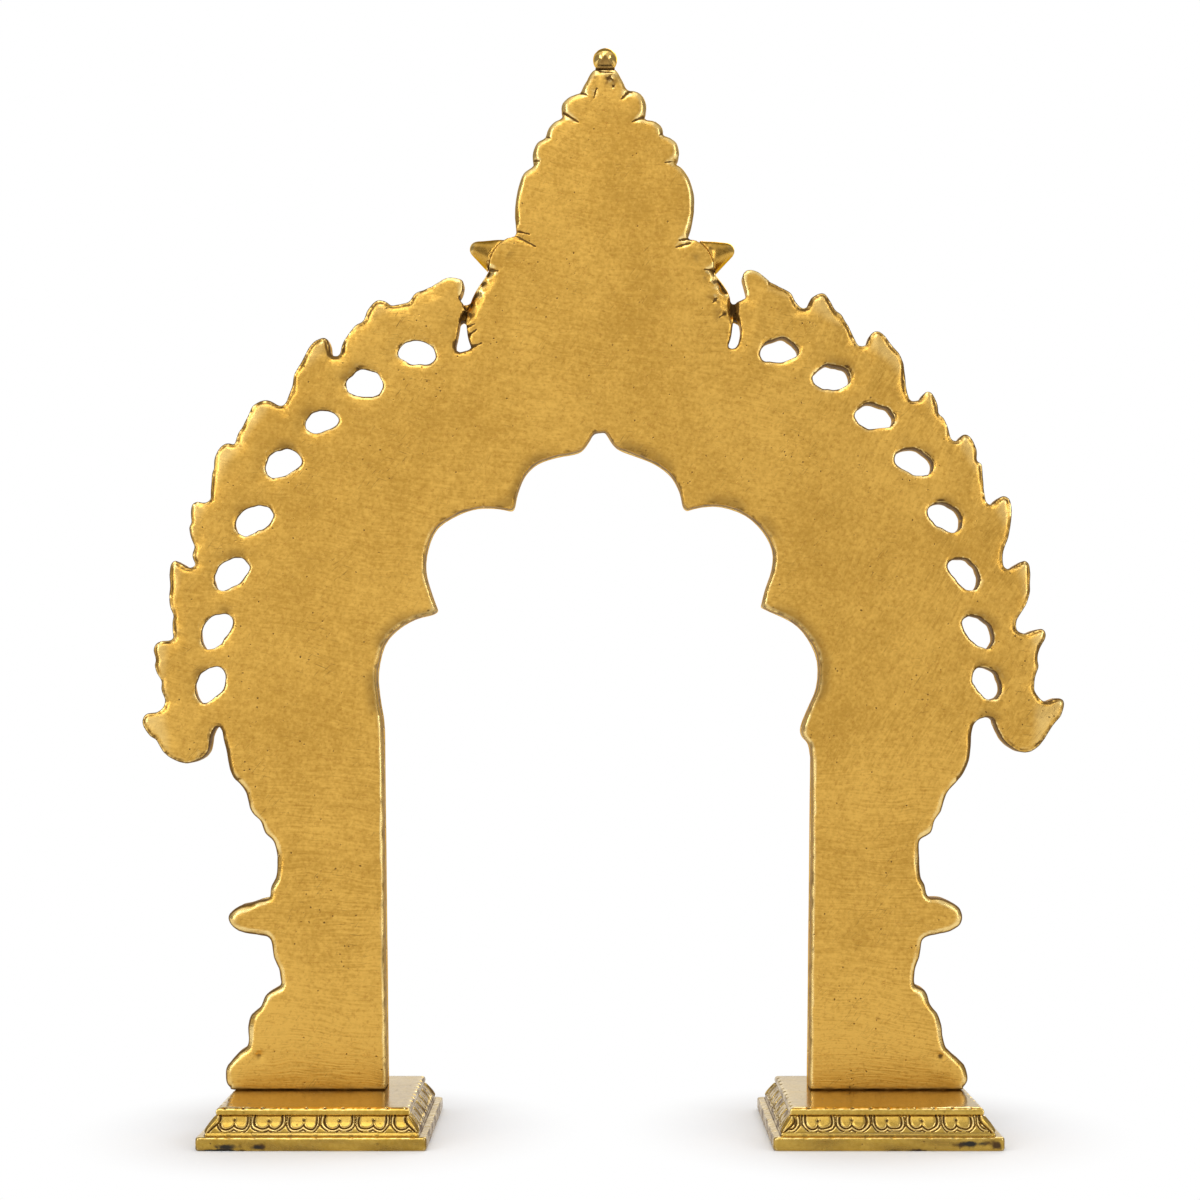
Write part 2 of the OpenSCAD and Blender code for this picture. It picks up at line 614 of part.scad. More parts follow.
// A round bar along the jaw's curve
module jaw_bar(r, w, half, rise) {
    translate([0, plate_front + rise, arch_z])
        rotate([90, 0, 0])
            rotate([0, 0, 90 - half])
                rotate_extrude(angle = 2 * half)
                    translate([r, 0])
                        circle(d = w);
}

module mask_ground() {
    intersection() {
        upright(plate_front + mask_t, mask_t)
            polygon(drawn_in(crest_outline, [crest_x, crest_z], mask_margin));
        translate([-far / 2, 0, arch_z + rib_r + rib_w / 2 + jaw_gap])
            cube([far, far, far]);
    }
}

module mask_face() {
    for (side = [-1, 1]) {
        boss([side * mask_eye[0], mask_eye[1]], mask_eye_d / 2, eye_forward);
        boss([side * mask_cheek[0], mask_cheek[1]], mask_cheek_r, cheek_forward);
        boss([side * nostril[0], nostril[1]], nostril_r, nose_forward);
    }
    boss([0, nose_z], nose_d / 2, nose_forward);
    boss([0, forehead_z], forehead_r, forehead_forward);
    boss([0, forehead_z], jewel_r, forehead_r + forehead_forward - jewel_sink);
    jaw_bar(flame_r - flame_scale * lip_drop, lip_w, lip_half, mask_t);
    for (i = [0 : len(tongue_roots) - 1]) {
        lock(sided(tongue_roots, -1)[i], sided(left_tongues, -1)[i], lock_forward);
        lock(tongue_roots[i], right_tongues[i], lock_forward);
    }
}

module kirtimukha_mask() {
    color(brass)
    union() {
        mask_ground();
        in_front()
            mask_face();
        horn(left_horn, left_seat, -1);
        horn(right_horn, right_seat, 1);
        for (p = mask_pegs)
            cross_bore(on_mask(p)[0], plate_front - peg_l, on_mask(p)[1], peg_d, peg_l + peg_root);
    }
}

// Half section of a plinth: riser, ledge, swelling petal moulding and fillet
function plinth_section() = concat(
    [[0, 0], [plinth_w / 2, 0], [plinth_w / 2, riser_h]],
    [
        for (k = [0 : petal_steps])
            let (t = k / petal_steps)
            [plinth_w / 2 - ledge_w - petal_lean * t + petal_bulge * sin(180 * t), riser_h + petal_h * t]
    ],
    [[plinth_top_w / 2, plinth_h], [0, plinth_h]]
);

module plinth(side) {
    half = plinth_section();
    section = concat(half, reversed(sided([for (i = [1 : len(half) - 2]) half[i]], -1)));
    color(brass_dark)
    difference() {
        translate([side * plinth_x, 0, 0])
            intersection() {
                upright(plinth_w / 2, plinth_w)
                    polygon(section);
                rotate([0, 0, 90])
                    upright(plinth_w / 2, plinth_w)
                        polygon(section);
            }
        for (s = screw_places(side))
            translate([s[0], s[1], -cut_over]) {
                cylinder(d = screw_d + 2 * hole_play, h = plinth_h + 2 * cut_over);
                cylinder(d = washer_d + 2 * fit_gap, h = seat_z + cut_over);
            }
    }
}

module left_plinth() {
    plinth(-1);
}

module right_plinth() {
    plinth(1);
}

module foot_screws(side) {
    color(brass_screw)
    for (s = screw_places(side))
        translate([s[0], s[1], head_inset])
            difference() {
                union() {
                    cylinder(d = head_d, h = head_h);
                    cylinder(d = screw_d, h = head_h + screw_l);
                }
                translate([-head_d, -slot_w / 2, -cut_over])
                    cube([2 * head_d, slot_w, slot_depth + cut_over]);
            }
}

module left_foot_screws() {
    foot_screws(-1);
}

module right_foot_screws() {
    foot_screws(1);
}

module foot_washers(side) {
    color(brass_screw)
    for (s = screw_places(side))
        translate([s[0], s[1], seat_z - washer_t])
            difference() {
                cylinder(d = washer_d, h = washer_t);
                translate([0, 0, -cut_over])
                    cylinder(d = screw_d + 2 * hole_play, h = washer_t + 2 * cut_over);
            }
}

module left_foot_washers() {
    foot_washers(-1);
}

module right_foot_washers() {
    foot_washers(1);
}

arch_plate();
kirtimukha_mask();
finial_bead();
inner_moulding();
halo_rib();
left_pilaster();
right_pilaster();
left_plinth();
right_plinth();
left_foot_screws();
right_foot_screws();
left_foot_washers();
right_foot_washers();
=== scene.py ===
"""Brass prabhavali: a cast and filed arch plate with its mask, mouldings, pilasters and lotus plinths."""

import math
from types import SimpleNamespace

import bmesh
import bpy
import numpy as np
from mathutils import Matrix, Vector, kdtree


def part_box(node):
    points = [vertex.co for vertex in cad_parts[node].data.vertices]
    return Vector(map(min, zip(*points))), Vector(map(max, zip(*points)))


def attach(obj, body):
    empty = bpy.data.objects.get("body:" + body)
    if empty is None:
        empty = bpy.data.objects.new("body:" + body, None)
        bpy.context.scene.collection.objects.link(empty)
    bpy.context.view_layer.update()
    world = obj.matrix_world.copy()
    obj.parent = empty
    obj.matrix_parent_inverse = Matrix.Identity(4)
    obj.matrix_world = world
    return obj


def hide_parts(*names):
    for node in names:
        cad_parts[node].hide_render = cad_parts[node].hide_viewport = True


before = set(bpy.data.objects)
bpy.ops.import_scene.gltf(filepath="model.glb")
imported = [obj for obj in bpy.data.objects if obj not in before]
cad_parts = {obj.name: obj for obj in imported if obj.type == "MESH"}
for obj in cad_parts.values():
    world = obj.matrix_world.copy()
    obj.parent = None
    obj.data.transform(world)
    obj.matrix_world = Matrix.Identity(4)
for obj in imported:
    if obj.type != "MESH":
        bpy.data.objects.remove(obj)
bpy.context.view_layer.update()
MM = 0.001

# Main places, in millimetres, from the frame
plate_low, plate_high = (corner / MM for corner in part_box("arch_plate"))
rib_low, rib_high = (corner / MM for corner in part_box("halo_rib"))
bead_low, bead_high = (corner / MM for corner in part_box("finial_bead"))
plinth_low, plinth_high = (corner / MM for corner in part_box("right_plinth"))
# Sizes that the frame's boxes don't show: how far the flames reach past the rib, how high a knob lies over
# its pillar's foot, how far a pilaster's axis lies behind the plate's front, and how far the jambs lie from
# the arch's axis at most
FLAME_BORDER = 23.5
KNOB_RISE = 40.3
PILASTER_SINK = 12
JAMB_REACH = 57
BACK = plate_low.y
FRONT = plate_high.y
PLATE_MID = (BACK + FRONT) / 2
FOOT = plate_low.z
ARCH_Z = rib_high.z - rib_high.x
RIB_RISE = rib_high.y - rib_low.y
RIB_R = rib_high.x - RIB_RISE
FLAME_R = RIB_R + FLAME_BORDER
CREST_X = (bead_low.x + bead_high.x) / 2
CREST_Z = ARCH_Z + FLAME_R
PILLAR_X = (plinth_low.x + plinth_high.x) / 2
PLINTH_HALF = (plinth_high.x - plinth_low.x) / 2
KNOB_Z = FOOT + KNOB_RISE
BEAD_D = bead_high.x - bead_low.x

# Finenesses of the worked skins, in millimetres
PLATE_GRAIN = 0.46
MASK_GRAIN = 0.32
PILASTER_GRAIN = 0.34
MOULDING_GRAIN = 0.32
MOST_TRIANGLES = 190000
# Points closer than this are one point
JOIN = 0.002
# Waves that make up a field of smooth random hills
RIPPLE_WAVES = 16
# Angles past which an edge is shaded sharp, on a worked skin, the rope, and a turned or carved piece
SKIN_CREASE = 70
ROPE_CREASE = 60
TURNED_CREASE = 50


def merged_copy(node):
    """A bmesh of a CAD node's shape with its loose triangles joined."""
    shape = bmesh.new()
    shape.from_mesh(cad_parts[node].data)
    bmesh.ops.remove_doubles(shape, verts=shape.verts, dist=JOIN * MM)
    return shape


def put_in_scene(name, data):
    """A new object at the origin that holds the data."""
    made = bpy.data.objects.new(name, data)
    bpy.context.scene.collection.objects.link(made)
    return made


def new_piece(name, shape):
    """An object that holds the bmesh."""
    mesh = bpy.data.meshes.new(name)
    shape.to_mesh(mesh)
    shape.free()
    return put_in_scene(name, mesh)


def settle(piece, kind, **settings):
    """Applies one modifier to the piece's mesh."""
    step = piece.modifiers.new(kind.lower(), kind)
    for key, value in settings.items():
        setattr(step, key, value)
    graph = bpy.context.evaluated_depsgraph_get()
    settled = bpy.data.meshes.new_from_object(piece.evaluated_get(graph))
    piece.modifiers.clear()
    raw = piece.data
    piece.data = settled
    bpy.data.meshes.remove(raw)


def casting(node, grain):
    """The node's shape as one even skin of small faces, ready to be worked."""
    piece = new_piece(node + "_worked", merged_copy(node))
    settle(piece, "REMESH", mode="VOXEL", voxel_size=grain * MM)
    return piece


def thin_out(piece):
    """Brings a dense skin under the most triangles that a piece may have."""
    piece.data.calc_loop_triangles()
    count = len(piece.data.loop_triangles)
    if count > MOST_TRIANGLES:
        settle(piece, "DECIMATE", ratio=MOST_TRIANGLES / count)


def numbers_of(items, key):
    """One row of three numbers for each item."""
    flat = np.empty(len(items) * 3)
    items.foreach_get(key, flat)
    return flat.reshape(-1, 3)


def points_of(piece):
    """The places of a piece's points, in millimetres."""
    return numbers_of(piece.data.vertices, "co") / MM


def normals_of(piece):
    """The way out of the skin at each point."""
    return numbers_of(piece.data.vertex_normals, "vector")


def work_skin(piece, points, easing):
    """Moves the skin's points to their new places and eases it."""
    piece.data.vertices.foreach_set("co", (points * MM).ravel())
    piece.data.update()
    settle(piece, "SMOOTH", factor=0.5, iterations=easing)


def ripple(points, size, seed):
    """Smooth random hills of about the given size, mostly from -1 to 1."""
    draw = np.random.default_rng(seed)
    ways = draw.normal(size=(3, RIPPLE_WAVES))
    ways *= draw.uniform(0.7, 1.4, RIPPLE_WAVES) * 2 * math.pi / size / np.linalg.norm(ways, axis=0)
    waves = np.sin(points @ ways + draw.uniform(0, 2 * math.pi, RIPPLE_WAVES))
    return waves.sum(axis=1) / math.sqrt(RIPPLE_WAVES)


def wall_ripple(points, size, seed):
    """Hills that run straight through the plate's depth."""
    return ripple(points * [1, 0, 1], size, seed)


def swell(value, low, high):
    """0 below low, 1 above high, with a smooth rise between."""
    t = np.clip((value - low) / (high - low), 0, 1)
    return t * t * (3 - 2 * t)


def between(value, low, high):
    """Whether a value lies between two others."""
    return (value > low) & (value < high)


def line(value, width):
    """A soft line: 1 where value is 0, falling away over the width."""
    return np.exp(-((value / width) ** 2))


def store(piece, name, values):
    """Keeps one number at each point for the material to read."""
    kept = piece.data.attributes.new(name, "FLOAT", "POINT")
    kept.data.foreach_set("value", np.asarray(values, np.float32))


def flat_tree(spots):
    """A search tree of places as they are seen square on to the plate."""
    tree = kdtree.KDTree(len(spots))
    for place, spot in enumerate(spots):
        tree.insert((spot[0], 0, spot[2]), place)
    tree.balance()
    return tree


def edges_in(geometry):
    """The edges among what a bmesh operator made."""
    return [item for item in geometry if isinstance(item, bmesh.types.BMEdge)]


def mark_wear(piece, reach, passes):
    """Stores how sharply each point stands proud, as edge, or lies sunk, as hollow."""
    mesh = piece.data
    ends = np.empty(len(mesh.edges) * 2, np.int64)
    mesh.edges.foreach_get("vertices", ends)
    first, second = ends.reshape(-1, 2).T
    points = points_of(piece)
    normals = normals_of(piece)
    step = points[second] - points[first]
    length = np.maximum((step ** 2).sum(1), 1e-6)
    size = len(points)
    count = np.bincount(first, minlength=size) + np.bincount(second, minlength=size)
    rise = np.bincount(first, 2 * (normals[first] * step).sum(1) / length, size)
    rise -= np.bincount(second, 2 * (normals[second] * step).sum(1) / length, size)
    bend = rise / np.maximum(count, 1)
    for _ in range(passes):
        spread = np.bincount(first, bend[second], size) + np.bincount(second, bend[first], size)
        bend = 0.5 * bend + 0.5 * spread / np.maximum(count, 1)
    store(piece, "edge", np.clip(-bend * reach, 0, 1))
    store(piece, "hollow", np.clip(bend * reach, 0, 1))


def raise_wear_and_highlight(piece, keep, more):
    """Keeps a share of the stored edge wear, and raises it to at least the given values: painted highlights
    and wear.
    """
    kept = piece.data.attributes["edge"].data
    worn = np.empty(len(kept), np.float32)
    kept.foreach_get("value", worn)
    kept.foreach_set("value", np.maximum(worn * keep, more).astype(np.float32))


def shade_smooth(piece, crease):
    """Smooth shading, broken along edges sharper than the crease angle."""
    piece.data.shade_smooth()
    piece.data.set_sharp_from_angle(angle=math.radians(crease))


def finish_piece(piece, node, material):
    """Gives a piece its material, hangs it under the root body and hides the node's CAD part."""
    piece.data.materials.clear()
    piece.data.materials.append(material)
    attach(piece, "root")
    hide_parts(node)


# Materials


class Shade:
    """A socket of a material's nodes. Sums on it add Math nodes."""

    def __init__(self, tree, socket=None):
        self.tree = tree
        self.socket = socket

    def add(self, kind, settings, inputs, output=0):
        """A new node with its settings, and its sockets fed by numbers, colours or other sockets."""
        made = self.tree.nodes.new(kind)
        for key, value in settings.items():
            setattr(made, key, value)
        for key, value in inputs.items():
            if isinstance(value, Shade):
                self.tree.links.new(value.socket, made.inputs[key])
            else:
                made.inputs[key].default_value = value
        return Shade(self.tree, made.outputs[output] if made.outputs else None)

    def maths(self, operation, *values):
        return self.add("ShaderNodeMath", {"operation": operation}, dict(enumerate(values)))

    def __add__(self, other):
        return self.maths("ADD", self, other)

    __radd__ = __add__

    def __sub__(self, other):
        return self.maths("SUBTRACT", self, other)

    def __rsub__(self, other):
        return self.maths("SUBTRACT", other, self)

    def __mul__(self, other):
        return self.maths("MULTIPLY", self, other)

    __rmul__ = __mul__

    def most(self, other):
        return self.maths("MAXIMUM", self, other)

    def held(self, low, high):
        """This value brought from the range low to high onto 0 to 1, with soft ends."""
        inputs = {"Value": self, "From Min": low, "From Max": high}
        return self.add("ShaderNodeMapRange", {"interpolation_type": "SMOOTHSTEP"}, inputs)

    def mark(self, attribute):
        """A number that is stored at the piece's points."""
        return self.add("ShaderNodeAttribute", {"attribute_name": attribute}, {}, "Fac")

    def cloud(self, scale, detail):
        """Cloudy noise by this place."""
        return self.add("ShaderNodeTexNoise", {}, {"Vector": self, "Scale": scale, "Detail": detail}, "Fac")

    def swayed(self, scale, share):
        """This place, pushed about a little by noise."""
        push = self.add("ShaderNodeTexNoise", {}, {"Vector": self, "Scale": scale}, "Color")
        return self.add("ShaderNodeMix", {"data_type": "VECTOR"}, {0: share, 4: self, 5: push}, 1)

    def file_marks(self, turn, size):
        """Noise by this place, drawn out into strokes of a size that are turned from level."""
        inputs = {"Vector": self, "Rotation": (0, math.radians(turn), 0), "Scale": size}
        return self.add("ShaderNodeMapping", {"vector_type": "TEXTURE"}, inputs).cloud(1.0, 4.0)

    def part(self, axis):
        """One of the three numbers of a vector."""
        return self.add("ShaderNodeSeparateXYZ", {}, {"Vector": self}, axis)

    def size(self):
        """This value without its sign."""
        return self.most(-1 * self)

    def tint(self, start, end):
        """A colour between start and end, by this value."""
        return self.add("ShaderNodeMix", {"data_type": "RGBA"}, {0: self, 6: start, 7: end}, 2)


def fresh_nodes(owner):
    """An empty set of nodes for a material or the world."""
    owner.use_nodes = True
    owner.node_tree.nodes.clear()
    return Shade(owner.node_tree)


def colour(red, green, blue):
    """An opaque colour."""
    return (red, green, blue, 1)


BRASS = colour(0.726, 0.428, 0.088)
BRASS_DEEP = colour(0.505, 0.275, 0.046)
BRASS_PALE = colour(0.850, 0.590, 0.200)
# Brown of real tarnish, also used for painted shade and painted dark reflections
BROWN = colour(0.150, 0.078, 0.018)
PATINA = colour(0.085, 0.043, 0.013)
SOOT = colour(0.030, 0.026, 0.020)
BURNT = colour(0.400, 0.185, 0.030)
# Pale brass of rubbed edges, also used for painted highlights on rims and tips
RUBBED_AND_HIGHLIGHT = colour(0.940, 0.705, 0.290)
PLINTH_DEEP = colour(0.408, 0.250, 0.037)
PLINTH_LIGHT = colour(0.580, 0.382, 0.078)
WARM_SHEEN = colour(0.82, 0.58, 0.22)
PALE_SHEEN = colour(1.0, 1.0, 1.0)
# Where the file marks change over the back, and where the painted light towards the foot fades: heights, and
# distances to the right of the axis, in metres
LOW_BACK = (0.055, 0.115)
PAINTED_LIGHT_FOOT = (0.02, 0.07)
RIGHT_BACK = (0.040, 0.062)
# Length, depth and width of a file mark, in metres
LONG_STROKE = (0.007, 0.003, 0.00036)
SHORT_STROKE = (0.005, 0.003, 0.00042)
SCRATCH = (0.0030, 0.002, 0.00024)
# Turns of the file marks from level, in degrees
LOW_TURN = 4
LEFT_TURN = 8
RIGHT_TURN = -62
SCRATCH_TURNS = (9, -52)


def brass_finish(name, tones, sheen, strength, grip, grime, pits):
    """Worked brass. tones: deep and light colour. sheen: colour of its gloss at a glance.
    strength: of the file marks. grip: roughness. grime: how much patina stays in hollows.
    pits: how much of the skin is pitted."""
    material = bpy.data.materials.new(name)
    nodes = fresh_nodes(material)
    place = nodes.add("ShaderNodeTexCoord", {}, {}, "Object")
    by_hand = place.swayed(45.0, 0.006)
    height = place.part("Z")
    low = 1 - height.held(*LOW_BACK)
    right = place.part("X").held(*RIGHT_BACK)
    upper = (1 - right) * by_hand.file_marks(LEFT_TURN, SHORT_STROKE)
    upper = upper + right * by_hand.file_marks(RIGHT_TURN, SHORT_STROKE)
    strokes = (low * by_hand.file_marks(LOW_TURN, LONG_STROKE) + (1 - low) * upper).held(0.30, 0.70)
    broad = place.cloud(34.0, 3.0)
    mottle = place.cloud(190.0, 5.0)
    fleck = place.cloud(650.0, 4.0)
    grain = place.cloud(1300.0, 3.0)
    inputs = {"Vector": place.swayed(900.0, 0.0006), "Scale": 640.0, "Randomness": 1.0}
    holes = nodes.add("ShaderNodeTexVoronoi", {}, inputs, "Distance")
    rough_patch = place.cloud(55.0, 3.0).held(0.50, 0.70)
    one_way, other_way = (by_hand.file_marks(turn, SCRATCH) for turn in SCRATCH_TURNS)
    scratch = one_way.most(other_way).held(0.60, 0.74) * (0.3 + 0.7 * rough_patch)
    speck = place.cloud(1500.0, 2.0).held(0.57, 0.70)
    blot = place.cloud(330.0, 6.0)
    pitted = (place.cloud(420.0, 1.0) + 0.2 * rough_patch).held(0.70 - pits, 0.74 - pits)
    pit = (1 - holes.held(0.05, 0.21)) * pitted
    hollow = (nodes.mark("hollow") * (0.5 + mottle)).held(0.10, 0.60) * grime
    stain = nodes.mark("stain")
    sooty = (stain + 2.4 * (blot - 0.5)).held(0.42, 0.95) * stain.held(0.03, 0.25)
    dirt = hollow.most(0.9 * pit).most(strength * scratch).most(sooty)
    bite = strength * (0.4 + 0.6 * low)
    worked = 0.36 * bite * (0.4 + 0.6 * place.cloud(31.0, 2.0).held(0.38, 0.66)) * (strokes - 0.5)
    # Painted light: the tone is lighter towards the foot
    foot_light = 0.13 * strength * (1 - height.held(*PAINTED_LIGHT_FOOT))
    tone = 0.44 * broad + 0.12 * mottle + 0.18 * fleck + 0.34 * grain + worked + foot_light
    skin = tone.held(0.37, 0.72).tint(*tones)
    # The stored edge numbers hold rubbed wear and painted highlights; both tint the skin pale
    rubbed_and_highlight = (nodes.mark("edge") * (0.6 + 0.8 * mottle)).held(0.15, 0.75)
    skin = (0.5 * strength * speck).tint(skin, BURNT)
    skin = (0.8 * rubbed_and_highlight).tint(skin, RUBBED_AND_HIGHLIGHT)
    # The stored tarnish numbers hold real tarnish and painted shade, including painted dark outlines on rims
    tarnish_and_shade = (nodes.mark("tarnish_and_shade") * (0.35 + 0.7 * mottle + 0.6 * fleck)).held(0.05, 0.95)
    skin = tarnish_and_shade.tint(skin, BROWN)
    skin = dirt.tint(skin, (stain * mottle).held(0.2, 0.5).tint(PATINA, SOOT))
    rough = grip + 0.06 * (strokes - 0.5) + 0.16 * (mottle - 0.5) - 0.08 * rubbed_and_highlight
    rough = rough + 0.25 * dirt + 0.2 * tarnish_and_shade
    uneven = min(1.0, 0.3 + strength)
    relief = 0.42 * bite * strokes + uneven * (0.55 * grain + 0.5 * mottle) - 1.6 * pit
    bump = nodes.add("ShaderNodeBump", {}, {"Strength": 0.6, "Distance": 0.0001, "Height": relief})
    metal = 1 - 0.85 * dirt.most(0.8 * tarnish_and_shade)
    inputs = {"Base Color": skin, "Metallic": metal, "Roughness": rough, "Specular IOR Level": 0.12,
              "Specular Tint": sheen, "Normal": bump}
    body = nodes.add("ShaderNodeBsdfPrincipled", {}, inputs)
    nodes.add("ShaderNodeOutputMaterial", {}, {"Surface": body})
    return material


filed_brass = brass_finish("filed_brass", (BRASS_DEEP, BRASS), WARM_SHEEN,
                           strength=0.75, grip=0.32, grime=0.9, pits=0.085)
cast_brass = brass_finish("cast_brass", (BRASS_DEEP, BRASS), WARM_SHEEN,
                          strength=0.15, grip=0.25, grime=1.0, pits=0.02)
plinth_brass = brass_finish("plinth_brass", (PLINTH_DEEP, PLINTH_LIGHT), PALE_SHEEN,
                            strength=0.12, grip=0.17, grime=1.0, pits=0.02)
polished_brass = brass_finish("polished_brass", (BRASS, BRASS_PALE), WARM_SHEEN,
                              strength=0.1, grip=0.13, grime=0.8, pits=-0.1)
screw_brass = brass_finish("screw_brass", (BRASS_DEEP, BRASS), WARM_SHEEN,
                           strength=0.2, grip=0.33, grime=0.8, pits=0.03)


# Arch plate

# Radii of the back's rolled rims, by the walls that they belong to, and of the front's
FOOT_ROUND = 0.4
HORN_ROOT_ROUND = 0.3
OPENING_ROUND = 0.7
SLIT_ROUND = 0.7
FACET_ROUND = 0.9
KNOB_ROUND = 2.1
CREST_ROUND = 1.6
PILLAR_ROUND = 1.9
FLAME_ROUND = 1.5
EYE_ROUND = 0.8
EYE_ROUND_MORE = 0.9
FRONT_ROUND = 0.8
# Depths between which the walls are looked for, the room from a face that its rim's roll may take up, and the
# depth given to points that are out of this room
WALL_FROM, WALL_TO = BACK + 1.0, BACK + 2.3
RIM_ROOM = 2.6
NOWHERE_NEAR = 9
# Angles up from the arch's springing at which the flames and eyes begin and end, and the crest begins
FLAMES_FROM, FLAMES_TO = -14, 67.5
EYES_FROM, EYES_TO = -5, 66.5
CREST_FROM = 76
# Distances in from the flames' tips: of the border's walls, its back, its fully beaten back, and the eyes
OUTSIDE_IN, BORDER_IN, BEATEN_IN = 22, 21, 13
EYES_IN, EYES_OUT = 20, 7.8
# Half the height of a knob's edge, and how far out from the pillar's middle it begins
KNOB_HALF, KNOB_OUT = 6, 13
# The roots of the horns on the crest's edge, and the slits beside the crest
HORN_ROOT_OUT = 20.5
HORN_ROOT_Z = (202.5, 211.5)
SLIT_X = (29, 35.5)
SLIT_Z = (181, 195)
# The crest's chiselled sides: outermost place, the heights over which they begin and end, width and slope
FACET_OUT = 33
FACET_FOOT = (188, 191)
FACET_TOP = (200, 202)
FACET_WIDE = 3.0
FACET_SLOPE = 0.36
# How uneven the walls are, how far the left eyes open towards the front, and how far the apex is eased
EYE_RAGGED, WALL_RAGGED = 0.16, 0.05
EYE_FLARE = 0.2
APEX_DROP = 0.9
# Depth of the valleys between the flames
VALLEY_DEPTH = 0.2
# The thin bridge over the right slit: middle, half its width and height, and how far it lies below the back
BRIDGE_X, BRIDGE_Z = 31.3, 193.2
BRIDGE_HALF_X, BRIDGE_HALF_Z = 0.8, 2.6
BRIDGE_SINK = 3.0
# How far the opening's curves stay inside the rib, how far below the arch's centre the jambs begin, and
# between which heights above it the low foils end
OPENING_IN = 10
JAMB_DROP = 6
LOW_FOIL_END = (30, 42)
# Heights over which the brown outline of the rims, painted shade and partly patina, grows weaker towards the
# crest
CREST_FADE = (198, 204)
# Cuts that run in from the notches of the crest: start, end, width and depth, with places from the arch's
# axis and from the floor
CREST_CUTS = [
    ((-4.9, 243.0), (-3.0, 242.0), 0.30, 0.55), ((-8.6, 238.0), (-5.2, 235.8), 0.34, 0.6),
    ((-13.2, 232.7), (-11.6, 232.0), 0.28, 0.35), ((-16.2, 226.9), (-14.2, 226.6), 0.3, 0.45),
    ((-20.0, 210.3), (-16.6, 209.5), 0.34, 0.55), ((-20.0, 209.2), (-15.2, 206.6), 0.42, 0.35),
    ((7.0, 243.2), (5.2, 241.3), 0.42, 0.6), ((11.0, 237.4), (7.6, 235.8), 0.32, 0.55),
    ((15.4, 233.6), (14.0, 232.7), 0.28, 0.4), ((17.8, 226.8), (15.3, 226.2), 0.4, 0.3),
    ((21.0, 208.5), (18.6, 208.0), 0.34, 0.6), ((21.0, 207.4), (17.9, 206.4), 0.4, 0.35),
    ((-27.0, 201.3), (-24.0, 200.9), 0.34, 0.6), ((27.8, 201.0), (24.6, 201.2), 0.36, 0.6),
    ((-31.6, 187.7), (-29.5, 188.4), 0.3, 0.4), ((-31.2, 185.5), (-29.0, 187.1), 0.3, 0.45),
    ((-30.4, 183.0), (-27.8, 183.9), 0.32, 0.4), ((27.3, 194.4), (26.4, 193.4), 0.5, 0.3),
    ((30.2, 191.4), (28.0, 190.0), 0.36, 0.3), ((-0.9, 243.4), (-1.5, 241.2), 0.22, 0.25),
    ((0.2, 247.7), (3.3, 247.4), 0.32, 0.35), ((2.2, 246.2), (3.0, 245.6), 0.35, 0.4),
    ((3.0, 244.2), (3.3, 243.9), 0.3, 0.35),
]
# Brown places on the back of the crest: middle from the arch's axis and from the floor, radius and weight
CREST_BROWNS = [
    (2.6, 245.4, 2.4, 0.9), (-1.5, 246.0, 1.5, 0.6), (26.8, 194.2, 2.0, 0.9), (28.0, 191.2, 1.7, 0.9),
    (-22.6, 205.4, 2.2, 0.7), (23.4, 204.6, 2.2, 0.8), (25.0, 199.5, 1.6, 0.6),
]
# The front's pearls: distance from the arch's centre, pitch and radius
FIELD_PEARLS_AT = RIB_R - 5.4
FIELD_PEARL_PITCH = 3.5
FIELD_PEARL_R = 1.45
# The front's flowers on one side: middle from the arch's centre, radius and number of petals
ROSETTES = [
    ((27.6, 54.0), 8.4, 8), ((54.0, 27.5), 8.6, 8), ((0, RIB_R - 8.8), 3.6, 6), ((61.5, 5.5), 4.8, 6),
]


def nearest_wall(points, normals, low, high):
    """How far each point is from the side walls between two depths, the way in from there, and that place."""
    wall = np.flatnonzero((np.abs(normals[:, 1]) < 0.35) & between(points[:, 1], low, high))
    tree = flat_tree(points[wall])
    found = [tree.find((p[0], 0, p[2])) for p in points]
    nearest = wall[[f[1] for f in found]]
    inward = -normals[nearest][:, [0, 2]]
    inward /= np.maximum(np.linalg.norm(inward, axis=1), 1e-6)[:, None]
    return np.array([f[2] for f in found]), inward, points[nearest][:, [0, 2]]


def on_arch(x, z):
    """Distance from the arch's centre and angle up from its springing."""
    return np.hypot(x, z - ARCH_Z), np.degrees(np.arctan2(z - ARCH_Z, np.abs(x)))


def eye_wall(wall):
    """Whether a wall is that of a pierced eye."""
    reach, angle = on_arch(wall[:, 0], wall[:, 1])
    return between(reach, FLAME_R - EYES_IN, FLAME_R - EYES_OUT) & between(angle, EYES_FROM, EYES_TO)


def opening_wall(wall):
    """Whether a wall is that of the opening."""
    reach, _ = on_arch(wall[:, 0], wall[:, 1])
    return np.where(wall[:, 1] < ARCH_Z, np.abs(wall[:, 0]) < JAMB_REACH, reach < RIB_R - OPENING_IN)


def horn_root_wall(wall):
    """Whether a wall is the crest's edge under a horn."""
    return (np.abs(wall[:, 0] - CREST_X) > HORN_ROOT_OUT) & between(wall[:, 1], *HORN_ROOT_Z)


def on_knob(x, z):
    """Whether a place is on the knob of a pillar's outer edge."""
    return (np.abs(z - KNOB_Z) < KNOB_HALF) & (np.abs(x) > PILLAR_X + KNOB_OUT)


def above_eye(inward, points):
    """How far a wall lies on the upper and outer side of its hole."""
    return swell(inward[:, 1] + 0.45 * inward[:, 0] * np.sign(points[:, 0]), 0.2, 0.9)


